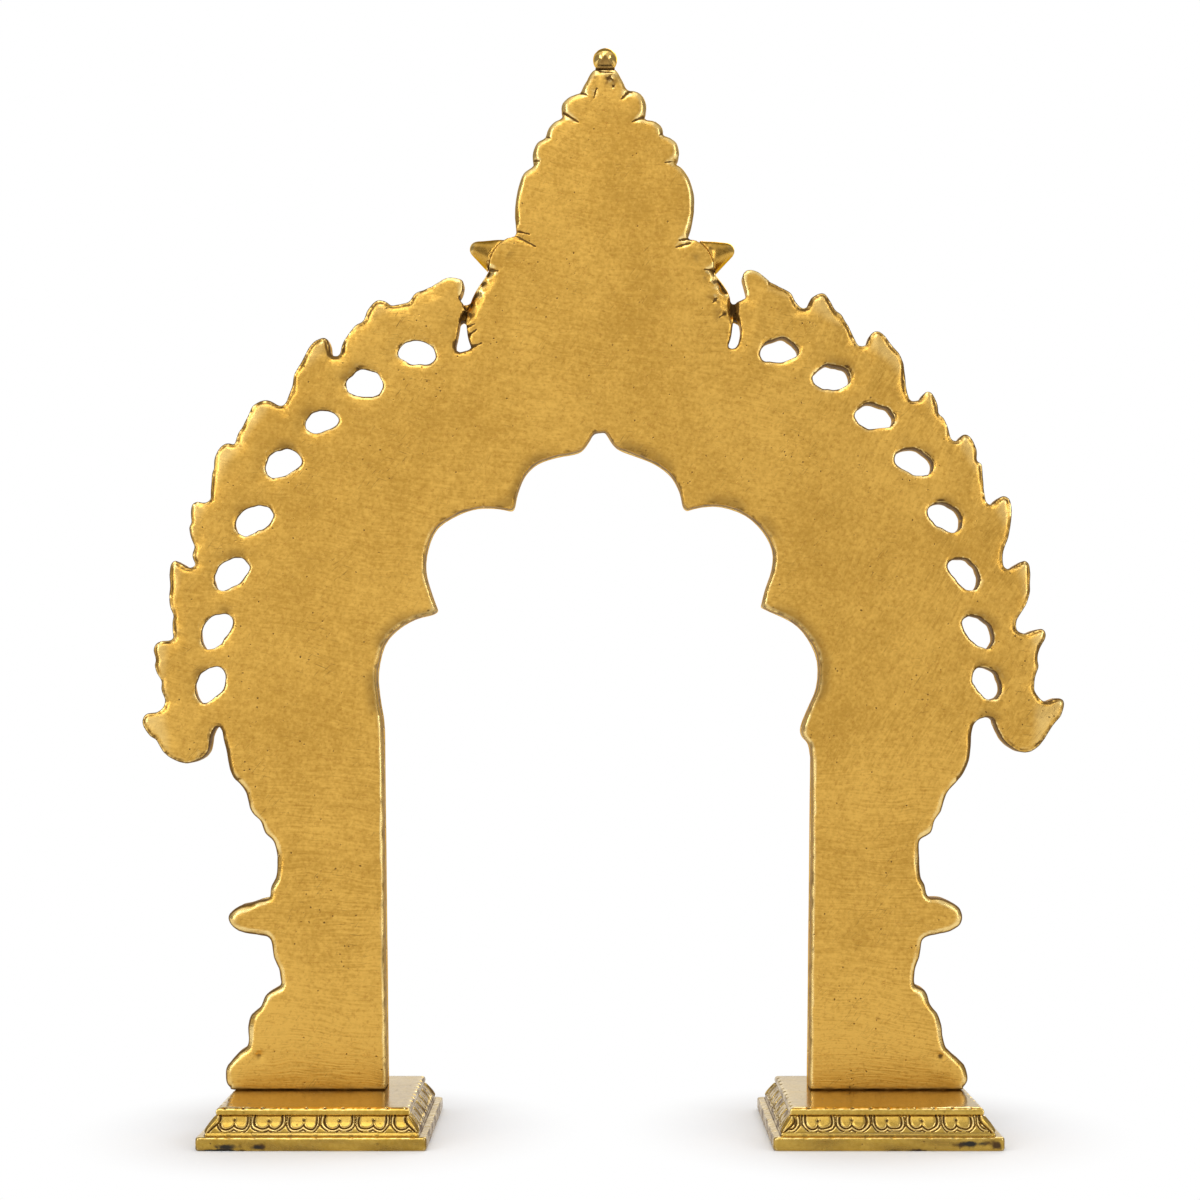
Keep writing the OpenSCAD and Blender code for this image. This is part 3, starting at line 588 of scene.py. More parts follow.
def facet_side(wall, inward):
    """How far a wall is one of the crest's two chiselled sides next to the slits."""
    beside = swell(-inward[:, 0] * np.sign(wall[:, 0]), 0.2, 0.7) * (np.abs(wall[:, 0]) < FACET_OUT)
    return beside * swell(wall[:, 1], *FACET_FOOT) * (1 - swell(wall[:, 1], *FACET_TOP))


def bridge_at(points):
    """How far a point is on the thin bridge over the right slit."""
    wide = swell(BRIDGE_HALF_X - np.abs(points[:, 0] - BRIDGE_X), -0.3, 0.3)
    return wide * swell(BRIDGE_HALF_Z - np.abs(points[:, 2] - BRIDGE_Z), -0.3, 0.3)


def rim_radius(wall, inward, points):
    """How far the rim of the back is rolled over, by the wall that it belongs to."""
    reach, angle = on_arch(wall[:, 0], wall[:, 1])
    outside = reach > FLAME_R - OUTSIDE_IN
    crest = angle >= CREST_FROM
    eye_round = EYE_ROUND + EYE_ROUND_MORE * above_eye(inward, points)
    slit_round = SLIT_ROUND + FACET_ROUND * facet_side(wall, inward)
    kinds = [
        (wall[:, 1] < FOOT + 0.3, FOOT_ROUND),
        (horn_root_wall(wall), HORN_ROOT_ROUND),
        (opening_wall(wall), OPENING_ROUND),
        (eye_wall(wall), eye_round),
        (on_knob(wall[:, 0], wall[:, 1]), KNOB_ROUND),
        (outside & (angle > FLAMES_TO) & ~crest, slit_round),
        (outside & crest, CREST_ROUND),
        (outside & (angle > FLAMES_FROM), FLAME_ROUND),
    ]
    return np.select([here for here, _ in kinds], [radius for _, radius in kinds], PILLAR_ROUND)


def flame_notches(wall):
    """Where the flames' edge dips between two tongues."""
    reach, angle = on_arch(wall[:, 0], wall[:, 1])
    places = []
    for side in (-1, 1):
        edge = (np.sign(wall[:, 0]) == side) & (reach > FLAME_R - EYES_OUT)
        steps = np.arange(-8, 68, 0.5)
        far = [reach[edge & (np.abs(angle - step) < 0.4)].max(initial=FLAME_R - 8) for step in steps]
        for i in range(4, len(steps) - 4):
            near = far[i - 4:i + 5]
            if far[i] == min(near) and max(near) - far[i] > 1.0:
                lean = math.radians(steps[i])
                places.append((side * math.cos(lean), math.sin(lean), far[i]))
    return places


def valleys(points, notches):
    """Depth of the soft valleys that run in from the flames' notches."""
    sunk = np.zeros(len(points))
    for way_x, way_z, far in notches:
        along = far - (points[:, 0] * way_x + (points[:, 2] - ARCH_Z) * way_z)
        across = points[:, 0] * way_z - (points[:, 2] - ARCH_Z) * way_x
        width = 0.7 + 0.14 * np.clip(along, 0, 8)
        run = swell(along, -1.5, 0) * (1 - swell(along, 1.5, 7))
        sunk = np.maximum(sunk, VALLEY_DEPTH * line(across + 0.25 * along, width) * run)
    return sunk


def round_rim(points, depth, distance, inward, radius):
    """Rolls the corner between a face and the side wall over a quarter circle. Returns the new depth."""
    along = depth - distance
    near = (np.abs(along) < radius) & (depth < radius + 0.3) & (distance < radius + 0.3)
    turn = np.where(near, (along + radius) / (2 * radius), 0) * math.pi / 2
    shift = np.where(near, radius * (1 - np.sin(turn)) - distance, 0)
    points[:, 0] += shift * inward[:, 0]
    points[:, 2] += shift * inward[:, 1]
    return np.where(near, radius * (1 - np.cos(turn)), depth)


def rosette(x, z, middle, radius, petals):
    """Height of a flower with a round heart."""
    u, w = x - middle[0], z - middle[1]
    away = np.hypot(u, w)
    turn = np.arctan2(w, u)
    leaf = np.abs(np.cos(turn * petals / 2)) ** 0.5
    rim = radius * (0.72 + 0.28 * leaf)
    body = swell(rim - away, 0, 1.0) * (0.45 + 0.5 * leaf) * (0.7 + 0.3 * np.cos(away / radius * math.pi))
    heart = np.sqrt(np.maximum(0, 1 - (away / (0.27 * radius)) ** 2))
    return np.maximum(body, 1.1 * heart)


def front_relief(points, distance):
    """Height of the chased ornament on the plate's front."""
    x, z = np.abs(points[:, 0]), points[:, 2] - ARCH_Z
    reach, angle = on_arch(points[:, 0], points[:, 2])
    flame = swell(reach, RIB_R + 3.0, RIB_R + 4.0) * swell(angle, -13, -10)
    lip = 0.75 * line(distance - 1.5, 0.75) - 0.45 * line(distance - 2.9, 0.5)
    leaf = (angle + 0.55 * (reach - RIB_R)) / 9.05
    vein = np.abs((3 * leaf) % 1 - 0.5)
    veins = swell(distance, 2.4, 3.6) * (0.35 - 0.6 * line(vein, 0.13))
    relief = flame * (lip + veins)
    along = (np.radians(angle) * FIELD_PEARLS_AT / FIELD_PEARL_PITCH) % 1 - 0.5
    off = np.hypot(along * FIELD_PEARL_PITCH, reach - FIELD_PEARLS_AT)
    pearls = np.sqrt(np.maximum(0, FIELD_PEARL_R ** 2 - off ** 2)) * (angle > -6)
    field = 1.4 * np.maximum.reduce([rosette(x, z, *flower) for flower in ROSETTES] + [pearls])
    stipple = 0.12 * np.sin(points[:, 0] * 4.2) * np.sin(points[:, 2] * 4.2)
    inside = swell(distance, 3.3, 3.9) * (reach < RIB_R) * swell(angle, -9, -7)
    return relief + inside * np.maximum(field, stipple * (field < 0.05))


def cut_notches(piece):
    """Sinks the cuts into the back of the crest, on faces made finer round them."""
    shape = bmesh.new()
    shape.from_mesh(piece.data)
    lowest = min(end[1] for cut in CREST_CUTS for end in cut[:2]) - 2

    def sunk(vert, cut):
        """How near the cut a point is, in the cut's widths, and how far the cut is worn out there."""
        start, end = Vector(cut[0]), Vector(cut[1])
        spot = Vector((vert.co.x, vert.co.z)) / MM - start
        run = end - start
        along = min(max(spot.dot(run) / run.length_squared, 0), 1)
        return (spot - along * run).length / cut[2], along

    def at_back():
        return [v for v in shape.verts if v.co.z > lowest * MM and v.co.y < (BACK + 2.5) * MM]

    close = {v for v in at_back() if min(sunk(v, cut)[0] for cut in CREST_CUTS) < 3}
    fine = [e for e in shape.edges if all(v in close for v in e.verts)]
    bmesh.ops.subdivide_edges(shape, edges=fine, cuts=2, use_grid_fill=True)
    for v in at_back():
        deepest = 0
        for cut in CREST_CUTS:
            off, along = sunk(v, cut)
            end_x, end_z = cut[1]
            ragged = 1 + 0.35 * math.sin(5.1 * along + 9 * end_x) + 0.2 * math.sin(13 * along + end_z)
            width = (1 - 0.55 * along) * ragged
            groove = 0.75 * math.exp(-((off / width) ** 2)) + 0.35 * math.exp(-((off / 2.6 / width) ** 2))
            deepest = max(deepest, cut[3] * (1 - 0.6 * along ** 2) * groove)
        v.co.y += deepest * MM
    shape.to_mesh(piece.data)
    shape.free()


def fray_walls(points, distance, inward, wall):
    """Makes the cut walls uneven, opens the left eyes towards the front and eases the opening's apex."""
    eyes = eye_wall(wall)
    bumps = wall_ripple(points, 5, 61) + 0.5 * wall_ripple(points, 2.4, 62)
    ragged = np.where(eyes, EYE_RAGGED, WALL_RAGGED) * (1 - swell(distance, 0.6, 2.6)) * bumps
    flare = EYE_FLARE * (eyes & (points[:, 0] < 0)) * np.clip(points[:, 1] - BACK - 0.8, 0, None)
    flare *= 1 - swell(distance, 0.8, 3.2)
    points[:, [0, 2]] += inward * (ragged + flare * (0.4 + 0.6 * above_eye(inward, points)))[:, None]
    apex_x, apex_z = max(wall[opening_wall(wall)], key=lambda spot: spot[1])
    points[:, 2] -= APEX_DROP * line(points[:, 0] - apex_x, 1.4) * line(points[:, 2] - apex_z, 2.4)


def beaten_back(points, distance, inward, wall):
    """Depth of the dents, waves, valleys and chiselled sides of the plate's back."""
    reach, angle = on_arch(points[:, 0], points[:, 2])
    beaten = swell(reach, FLAME_R - BORDER_IN, FLAME_R - BEATEN_IN)
    beaten *= swell(angle, -16, -8) * (1 - swell(angle, 69, 72))
    dents = 0.075 * beaten * ripple(points, 6, 21) + 0.03 * beaten * ripple(points, 3, 22)
    wave = 0.045 * ripple(points, 24, 31) + 0.02 * ripple(points, 7, 32)
    pillow = (0.05 + 0.25 * beaten) * (1 - swell(distance, 0.4, 4.0)) + valleys(points, flame_notches(wall))
    facet = FACET_SLOPE * np.clip(FACET_WIDE - distance, 0, None) * facet_side(wall, inward)
    pillow += facet * (1 + 0.4 * ripple(points, 2.2, 23))
    return np.abs(dents + wave) + pillow


def work_plate(piece):
    """Rolls the rims of the plate, beats its back and chases its front."""
    points = points_of(piece)
    normals = normals_of(piece)
    distance, inward, wall = nearest_wall(points, normals, WALL_FROM, WALL_TO)
    at_back = points[:, 1] < BACK + RIM_ROOM
    at_front = points[:, 1] > FRONT - RIM_ROOM
    flat_back = at_back & (normals[:, 1] < -0.5)
    flat_front = at_front & (normals[:, 1] > 0.5)
    fray_walls(points, distance, inward, wall)
    back_round = rim_radius(wall, inward, points) * (1 + 0.14 * wall_ripple(points, 8, 5))
    behind = np.where(at_back, points[:, 1] - BACK, NOWHERE_NEAR)
    before = np.where(at_front, FRONT - points[:, 1], NOWHERE_NEAR)
    behind = round_rim(points, behind, distance, inward, back_round)
    before = round_rim(points, before, distance, inward, FRONT_ROUND)
    points[at_back, 1] = BACK + behind[at_back]
    points[at_front, 1] = FRONT - before[at_front]
    points[flat_back, 1] += beaten_back(points, distance, inward, wall)[flat_back]
    points[:, 1] = np.maximum(points[:, 1], BACK + BRIDGE_SINK * bridge_at(points))
    points[:, 0] = np.clip(points[:, 0], plate_low.x, plate_high.x)
    relief = front_relief(points[flat_front], distance[flat_front])
    points[flat_front, 1] += relief * swell(distance[flat_front], 0.2, 1.0)
    work_skin(piece, points, 2)


def plate_zones(piece):
    """What the plate's marks go by: each point's place, tilt and nearest wall, and what it belongs to."""
    points = points_of(piece)
    normals = normals_of(piece)
    distance, inward, wall = nearest_wall(points, normals, WALL_FROM, WALL_TO)
    reach, angle = on_arch(points[:, 0], points[:, 2])
    depth = points[:, 1] - BACK
    roll = rim_radius(wall, inward, points)
    opening = opening_wall(wall)
    return SimpleNamespace(
        points=points, distance=distance, inward=inward, wall=wall, reach=reach, depth=depth,
        tilt=np.degrees(np.arccos(np.clip(-normals[:, 1], -1, 1))),
        on_rim=(depth < 1.1 * roll + 0.3) & (distance < roll + 0.4),
        opening=opening,
        jamb=opening & (points[:, 2] < ARCH_Z - JAMB_DROP),
        eyes=eye_wall(wall),
        flames=(reach > FLAME_R - BORDER_IN) & between(angle, FLAMES_FROM, FLAMES_TO),
        knob=on_knob(points[:, 0], points[:, 2]),
        slit=between(np.abs(wall[:, 0]), *SLIT_X) & between(wall[:, 1], *SLIT_Z),
        horn_root=horn_root_wall(wall),
    )


def wear_and_highlight_plate(piece, at):
    """Marks painted highlights as pale lines along the plate's rims and pale patches on the flames' tips."""
    highlight_weight = np.select([at.knob | at.jamb, at.eyes | at.slit, at.horn_root, at.opening, at.flames],
                     [0.95, 0.12, 0.05, 0.16, 0.26], 0.62)
    highlight_weight = highlight_weight * (0.85 + 0.35 * ripple(at.points, 5, 42))
    # Painted highlights: pale bands on rims at middling tilts, and pale patches on the flames' tips
    rim_highlight = at.on_rim * highlight_weight * swell(at.tilt, 12, 26) * (1 - swell(at.tilt - 10 * at.jamb, 38, 50))
    tip_highlight = 0.42 * at.flames * swell(at.reach, FLAME_R - 5.5, FLAME_R) * (1 - swell(at.tilt, 14, 30))
    low_foil = 1 - swell(at.points[:, 2] - ARCH_Z, *LOW_FOIL_END)
    keep = np.select([at.slit | at.horn_root, at.opening & ~at.jamb], [0.3, 0.3 + 0.45 * low_foil], 1)
    raise_wear_and_highlight(piece, keep, np.clip(np.maximum(rim_highlight, tip_highlight), 0, 1))


def brown_and_shade_plate(piece, at):
    """Marks brown tarnish and painted shade on the plate's rims, walls, eyes, opening, feet and bridge, and
    stains on the crest.
    """
    points, depth, tilt, distance = at.points, at.depth, at.tilt, at.distance
    # Painted dark reflection, partly patina: the outer part of each rim turns brown past a tilt
    start = np.select([at.eyes, at.flames, at.slit], [28, 20, 24], 38)
    plain = (1 - 0.4 * swell(at.wall[:, 1], *CREST_FADE)) * (1 - 0.85 * facet_side(at.wall, at.inward))
    rim_brown_and_shade = np.select([at.jamb, at.opening | at.horn_root], [0.55 * swell(tilt, 52, 62), 0], plain)
    rim_brown_and_shade *= swell(tilt - start, 0, 14) * at.on_rim
    # Darker walls: partly the cast skin, partly painted shade, with a painted shadow at the front of the
    # opening's wall
    foil_wall_shade = np.maximum(0.4, 0.85 * swell(depth, 4.8, 5.6))
    side = np.select([at.jamb, at.opening], [0.55, foil_wall_shade], 0.32)
    side = side * swell(tilt, 60, 75) * (depth < FRONT - BACK - 0.6)
    # Painted shade on the upper and outer side of each eye
    eye_shade = 0.5 * at.eyes * above_eye(at.inward, points) * (1 - swell(distance, 0.4, 4.2))
    eye_shade *= np.clip(0.55 + 0.6 * wall_ripple(points, 9, 45), 0, 1)
    broken = swell(ripple(points, 2.6, 41), 0.3, 0.7) * (1 - swell(distance, 0.35, 0.9)) * (depth < 1.4)
    dashes = np.where(at.opening, 0.65, 0.15) * broken
    # A dark line at the foot's joint, and painted shade fading up from it
    over_foot = points[:, 2] - FOOT
    foot = 0.9 * (1 - swell(over_foot, 0.2, 0.7)) + 0.3 * (1 - swell(over_foot, 0.4, 3))
    # Painted shade on the face along the opening's curves
    bed = 0.5 * (at.opening & ~at.jamb) * (1 - swell(distance, 0.9, 4.5)) * (depth < 0.4)
    bed *= swell(ripple(points, 16, 44), -0.5, 0.5)
    # Painted shade on the sunk bridge over the right slit
    bridge_shade = 0.9 * bridge_at(points) * (depth > 0.6)
    blotch = (0.6 + 0.5 * ripple(points, 1.6, 43)) * (depth < 2.5)
    browns = [weight * line(np.hypot(points[:, 0] - x, points[:, 2] - z), radius) * blotch
              for x, z, radius, weight in CREST_BROWNS]
    brown = np.maximum.reduce([rim_brown_and_shade, side, eye_shade, dashes, foot, bed, bridge_shade] + browns)
    store(piece, "tarnish_and_shade", np.clip(brown, 0, 1))


def arch_plate():
    piece = casting("arch_plate", PLATE_GRAIN)
    work_plate(piece)
    cut_notches(piece)
    thin_out(piece)
    mark_wear(piece, 1.5, 2)
    zones = plate_zones(piece)
    wear_and_highlight_plate(piece, zones)
    brown_and_shade_plate(piece, zones)
    shade_smooth(piece, SKIN_CREASE)
    finish_piece(piece, "arch_plate", filed_brass)


# Mask

# The face, from the top of the flame circle: eyes, cheeks, nostrils, and the jewel on the brow
EYE_X, EYE_Z, EYE_R = 9.0, -1.5, 5.5
CHEEK_X, CHEEK_Z, CHEEK_R = 17.5, -9.5, 7.0
NOSTRIL_X, NOSTRIL_Z = 4.4, -8.3
BROW_Z, JEWEL_R, JEWEL_BEADS = 10.5, 3.0, 11
# The lip's distance from the arch's centre, and the teeth's pitch and the fangs' place in degrees round it
LIP_R = 89.8
TOOTH_PITCH = 2.3
FANG_AT = 10.4
# The horns: how far out they begin and meet the crest's edge, over which length a root blends into the horn,
# the depth of their axes, and how far the roots stand proud of the plate's back and are tucked over its edge
HORN_FROM = 22.5
HORN_SEAT = 24.2
HORN_BLEND = (25, 31)
HORN_AXIS_Y = PLATE_MID + 1.5
HORN_PROUD = 0.1
HORN_TUCK = 0.6
# Locks of the mane on one side: root and tip from the top of the flame circle
LOCKS = [((7, 9), (16.2, 12)), ((6, 13), (13.1, 21)), ((4.6, 15.5), (10.1, 26.2)), ((2.6, 17), (4, 34.5))]


def eye_relief(u, w):
    """Height of the chased eyes and brows."""
    out, up = u - EYE_X, w - EYE_Z
    off = np.hypot(out, up)
    turn = np.degrees(np.arctan2(up, out))
    pupil = -0.9 * (1 - swell(np.hypot(out, up + 0.4), 0.9, 1.5)) - 0.4 * line(off - 2.9, 0.4)
    lid = 0.6 * line(off - 4.7, 0.5) * swell(np.abs(turn), 8, 24) - 0.35 * line(off - 5.6, 0.4)
    arch = off - 7.3 - 0.9 * np.sin(np.radians(turn) * 2)
    browed = swell(turn, 12, 30) * (1 - swell(turn, 160, 176))
    hairs = 1 + 0.22 * np.sin(np.radians(turn) * 30)
    return np.where(off < EYE_R + 0.8, pupil + lid, 0) + line(arch, 1.0) * browed * hairs * (u > 0.8)


def cheek_relief(u, w):
    """Height of the curled cheeks and of the nose with its nostrils."""
    out, up = u - CHEEK_X, w - CHEEK_Z
    off = np.hypot(out, up)
    curl = (off / 2.1 - np.arctan2(up, out) / (2 * math.pi)) % 1 - 0.5
    height = np.where(off < CHEEK_R - 0.4, 0.35 - 0.7 * line(curl, 0.17), 0)
    height -= 0.8 * line(np.hypot(u - NOSTRIL_X, w - NOSTRIL_Z), 0.9)
    return height - 0.3 * (line(w - 1.2, 0.45) + line(w - 3.0, 0.45)) * (u < 3.2)


def jewel_relief(right, w):
    """Height of the ring of beads round the jewel."""
    off = np.hypot(right, w - BROW_Z) - JEWEL_R
    beads = swell(np.cos(JEWEL_BEADS * np.arctan2(w - BROW_Z, right)), -0.5, 0.5)
    return 0.75 * line(off - 1.7, 0.65) * beads - 0.35 * line(off - 0.3, 0.4)


def teeth_relief(x, z):
    """Height of the teeth, the fangs and the notched lip."""
    reach, angle = on_arch(x, z)
    side = 90 - angle
    tooth = np.abs((side / TOOTH_PITCH) % 1 - 0.5)
    below = LIP_R - 1.9 - reach
    fang = 1.6 * line(side - FANG_AT, 1.2)
    teeth = swell(0.42 - tooth, 0, 0.16) * (1 - swell(below, 1.7 + fang, 2.3 + fang))
    height = 0.9 * teeth * swell(below, -0.4, 0.1) * (side < 13.5)
    return height + 0.25 * np.cos(np.radians(side) * 220) * line(reach - LIP_R, 1.3) * (side < 15)


def mane_relief(u, w):
    """Height of the strands of the mane's locks."""
    height = np.zeros(len(u))
    for root, tip in LOCKS:
        run = np.array(tip) - root
        length = np.linalg.norm(run)
        run = run / length
        along = ((u - root[0]) * run[0] + (w - root[1]) * run[1]) / length
        across = (u - root[0]) * run[1] - (w - root[1]) * run[0]
        wide = 3.2 - 1.4 * along
        inside = swell(along, 0.05, 0.2) * (1 - swell(along, 0.92, 1.05)) * (np.abs(across) < wide)
        height += 0.3 * np.cos(across / wide * 2.4 * math.pi + 2.2 * along) * inside
    return height


def face_relief(x, z):
    """Height of the whole chased face."""
    right, w = x - CREST_X, z - CREST_Z
    u = np.abs(right)
    face = eye_relief(u, w) + cheek_relief(u, w) + jewel_relief(right, w)
    return face + teeth_relief(x, z) + mane_relief(u, w)


def flatten_horns(points, behind):
    """Brings the horns flush with the plate's back at their roots, and tucks the roots over its edge."""
    out = np.abs(points[:, 0] - CREST_X)
    steps = np.arange(HORN_FROM, out.max() + 0.5, 0.5)
    lowest = [points[behind & (np.abs(out - step) < 0.6), 1].min(initial=HORN_AXIS_Y) for step in steps]
    thick = np.interp(out[behind], steps, np.maximum(HORN_AXIS_Y - np.array(lowest), 0.1))
    root = 1 - swell(out[behind], *HORN_BLEND)
    turned = np.clip((HORN_AXIS_Y - points[behind, 1]) / thick, 0, 1)
    reach = thick + root * (HORN_AXIS_Y - BACK + HORN_PROUD - thick)
    points[behind, 1] = HORN_AXIS_Y - reach * turned ** (1 - 0.5 * root)
    points[behind, 0] -= np.sign(points[behind, 0]) * HORN_TUCK * root * swell(turned, 0.2, 0.8)


def kirtimukha_mask():
    piece = casting("kirtimukha_mask", MASK_GRAIN)
    points = points_of(piece)
    normals = normals_of(piece)
    horn = np.abs(points[:, 0] - CREST_X) > HORN_FROM
    facing = (normals[:, 1] > 0.12) & (points[:, 1] > FRONT + 0.3) & ~horn
    carved = np.where(facing, face_relief(points[:, 0], points[:, 2]), 0)
    points += normals * carved[:, None] * [0.35, 1, 0.35]
    flatten_horns(points, horn & (points[:, 1] < HORN_AXIS_Y))
    work_skin(piece, points, 2)
    thin_out(piece)
    mark_wear(piece, 1.0, 2)
    points = points_of(piece)
    seat = np.abs(points[:, 0] - CREST_X) - HORN_SEAT
    back = points[:, 1] < FRONT - 0.2
    raise_wear_and_highlight(piece, 1 - 0.9 * back * (1 - swell(seat, 2.6, 4.2)), 0)
    seam = back * line(seat, 2.0) * (0.15 + 0.4 * ripple(points, 1.5, 51))
    store(piece, "tarnish_and_shade", np.clip(seam, 0, 1))
    shade_smooth(piece, SKIN_CREASE)
    finish_piece(piece, "kirtimukha_mask", cast_brass)


# Moulding round the opening, and the halo rib

# Pitch and radius of the moulding's pearls, and half the moulding's width
PEARL_PITCH = 2.5
PEARL_R = 1.12
MOULDING_HALF = 1.6
# How close the rope's strands lie, and the steps of the rib's section and length
ROPE_TURNS = 1.9
RIB_SECTION_STEPS = 12
RIB_STEPS = 900


def inner_moulding():
    piece = casting("inner_moulding", MOULDING_GRAIN)
    points = points_of(piece)
    normals = normals_of(piece)
    distance, _, _ = nearest_wall(points, normals, FRONT + 0.5, FRONT + 1.5)
    face = normals[:, 1] > 0.5
    ridge = points[face & (distance > MOULDING_HALF - 0.3)]
    ridge = ridge[np.argsort(np.arctan2(ridge[:, 0], ridge[:, 2] - ARCH_Z))]
    pearls = [ridge[0]]
    for spot in ridge:
        if np.linalg.norm(spot - pearls[-1]) >= PEARL_PITCH:
            pearls.append(spot)
    tree = flat_tree(pearls)
    off = np.array([tree.find((p[0], 0, p[2]))[2] for p in points])
    pearl = np.sqrt(np.maximum(0, PEARL_R ** 2 - off ** 2))
    bed = 0.75 - 0.3 * line(distance - 0.15, 0.25)
    points[face, 1] = (FRONT + bed + np.maximum(pearl, 0.55 * line(distance - 0.1, 0.32)))[face]
    work_skin(piece, points, 1)
    thin_out(piece)
    mark_wear(piece, 0.8, 1)
    shade_smooth(piece, SKIN_CREASE)
    finish_piece(piece, "inner_moulding", cast_brass)


def halo_rib():
    """A half round laid along the arch and chased as a rope."""
    drop = math.asin((ARCH_Z - rib_low.z) / (RIB_R + RIB_RISE))
    shape = bmesh.new()
    section = []
    for step in range(RIB_SECTION_STEPS + 1):
        lean = math.pi * step / RIB_SECTION_STEPS
        spot = Vector((RIB_R + RIB_RISE * math.cos(lean), FRONT + RIB_RISE * math.sin(lean), ARCH_Z)) * MM
        section.append(shape.verts.new(spot))
    section = [shape.edges.new(pair) for pair in zip(section, section[1:] + section[:1])]
    centre = (0, 0, ARCH_Z * MM)
    bmesh.ops.rotate(shape, verts=shape.verts, cent=centre, matrix=Matrix.Rotation(drop, 3, "Y"))
    bmesh.ops.contextual_create(shape, geom=section)
    made = bmesh.ops.spin(shape, geom=section, cent=centre, axis=(0, -1, 0), angle=math.pi + 2 * drop,
                          steps=RIB_STEPS)
    bmesh.ops.contextual_create(shape, geom=edges_in(made["geom_last"]))
    for v in shape.verts:
        away = Vector((v.co.x, v.co.z)) / MM - Vector((0, ARCH_Z))
        side, rise = away.length - RIB_R, v.co.y / MM - FRONT
        lean = math.atan2(rise, side)
        twist = math.sin(away.angle_signed(Vector((0, 1)), 0) * RIB_R * ROPE_TURNS + 2 * lean)
        shrink = 1 - (0.10 - 0.10 * twist) * min(1, rise * 2)
        out = away.normalized() * (RIB_R + side * shrink)
        v.co = Vector((out.x, FRONT + rise * shrink, ARCH_Z + out.y)) * MM
    bmesh.ops.recalc_face_normals(shape, faces=shape.faces)
    piece = new_piece("halo_rib_rope", shape)
    mark_wear(piece, 0.9, 1)
    shade_smooth(piece, ROPE_CREASE)
    finish_piece(piece, "halo_rib", cast_brass)


# Pilasters and finial

# Rings round a pilaster, as height and width: from its foot, from its knob and from the arch's springing
FOOT_RINGS = [(7.4, 0.5), (18.0, 0.5), (24.6, 0.45), (30.4, 0.6)]
KNOB_RINGS = [(6.6, 0.6), (8.6, 0.5)]
SPRING_RINGS = [(-36.4, 0.5)]
# Leaves round its foot and round its capital
FOOT_LEAVES = 22
CAPITAL_LEAVES = 16
# How far the ground between the leaves lies below the cast skin
GROUND_SINK = 0.35


def around(turn, count):
    """Place across one of the leaves that go round a column: -1 to 1."""
    return 2 * ((turn * count / (2 * math.pi)) % 1) - 1


def leaves(turn, up, count, width, tip):
    """Height of a ring of pointed leaves with a mid vein. up runs from 0 at the root to 1 at the tips."""
    across = np.abs(around(turn, count))
    edge = width * np.sqrt(np.clip(1 - np.clip(up, 0, 1) ** 2.2, 0, 1)) - across
    body = swell(edge, 0, 0.16) * (0.45 + tip * np.clip(up, 0, 1))
    vein = 0.35 * line(across, 0.10) + 0.22 * line(across - 0.42 * width, 0.09)
    return (body - vein * swell(edge, 0.05, 0.2)) * (up > 0) * (up < 1.02)


def pilaster_relief(turn, z):
    """Height of the chasing on a pilaster by the turn round its axis and the height."""
    foot, knob, spring = z - FOOT, z - KNOB_Z, z - ARCH_Z
    petals = leaves(turn, (foot - 0.7) / 5.0, FOOT_LEAVES, 0.98, 0.5)
    upper = leaves(turn + math.pi / FOOT_LEAVES, (foot - 8.8) / 7.2, FOOT_LEAVES, 0.95, 0.45)
    pearls = 0.55 * swell(np.cos(turn * 44), -0.6, 0.6) * line(foot - 21, 0.9)
    rings = 0.4 * sum(line(height - at, wide)
                      for height, ring in ((foot, FOOT_RINGS), (knob, KNOB_RINGS), (spring, SPRING_RINGS))
                      for at, wide in ring)
    reeds = 0.28 * np.abs(np.sin(turn * 24)) * swell(foot, 25.2, 26) * (1 - swell(foot, 28.4, 29.2))
    gadroons = 0.75 * (np.abs(np.cos(turn * 18)) - 0.4) * (1 - swell(np.abs(knob), 3.4, 4.6))
    groove = 0.3 * line(knob, 0.35)
    shaft = 0.35 * np.cos(turn * 30) * swell(knob, 9.6, 10.6) * (1 - swell(spring, -38.2, -37.2))
    capital = leaves(turn, (spring + 33.6) / 9.5, CAPITAL_LEAVES, 0.97, 0.6)
    crown = leaves(turn + math.pi / CAPITAL_LEAVES, (spring + 24.0) / 11.0, CAPITAL_LEAVES, 0.97, 0.8)
    band = 0.5 * line(spring + 11.2, 0.8) - 0.3 * line(spring + 12.7, 0.4)
    return petals + upper + pearls + rings + reeds + gadroons - groove + shaft + capital + crown + band


def pilaster(node, middle):
    piece = casting(node, PILASTER_GRAIN)
    points = points_of(piece)
    normals = normals_of(piece)
    out = np.stack([points[:, 0] - middle, points[:, 1] - (FRONT - PILASTER_SINK)], axis=1)
    turn = np.arctan2(out[:, 0], out[:, 1])
    out /= np.linalg.norm(out, axis=1)[:, None]
    facing = ((normals[:, :2] * out).sum(axis=1) > 0.25) & (points[:, 1] > FRONT + 0.25)
    relief = pilaster_relief(turn, points[:, 2]) - GROUND_SINK
    relief *= swell(points[:, 1], FRONT + 0.2, FRONT + 1.0)
    away = np.hypot(points[:, 0] - middle, points[:, 1] - FRONT + PILASTER_SINK)
    points[facing, :2] += (out * relief[:, None])[facing]
    top = (normals[:, 2] > 0.7) & (points[:, 2] > points[:, 2].max() - 0.6)
    rim = away[top].max()
    points[top, 2] -= 0.5 * line(away[top] - rim + 2.4, 0.5) + 0.3 * swell(rim - away[top], 2.4, 4)
    work_skin(piece, points, 1)
    thin_out(piece)
    mark_wear(piece, 0.9, 1)
    shade_smooth(piece, SKIN_CREASE)
    finish_piece(piece, node, cast_brass)


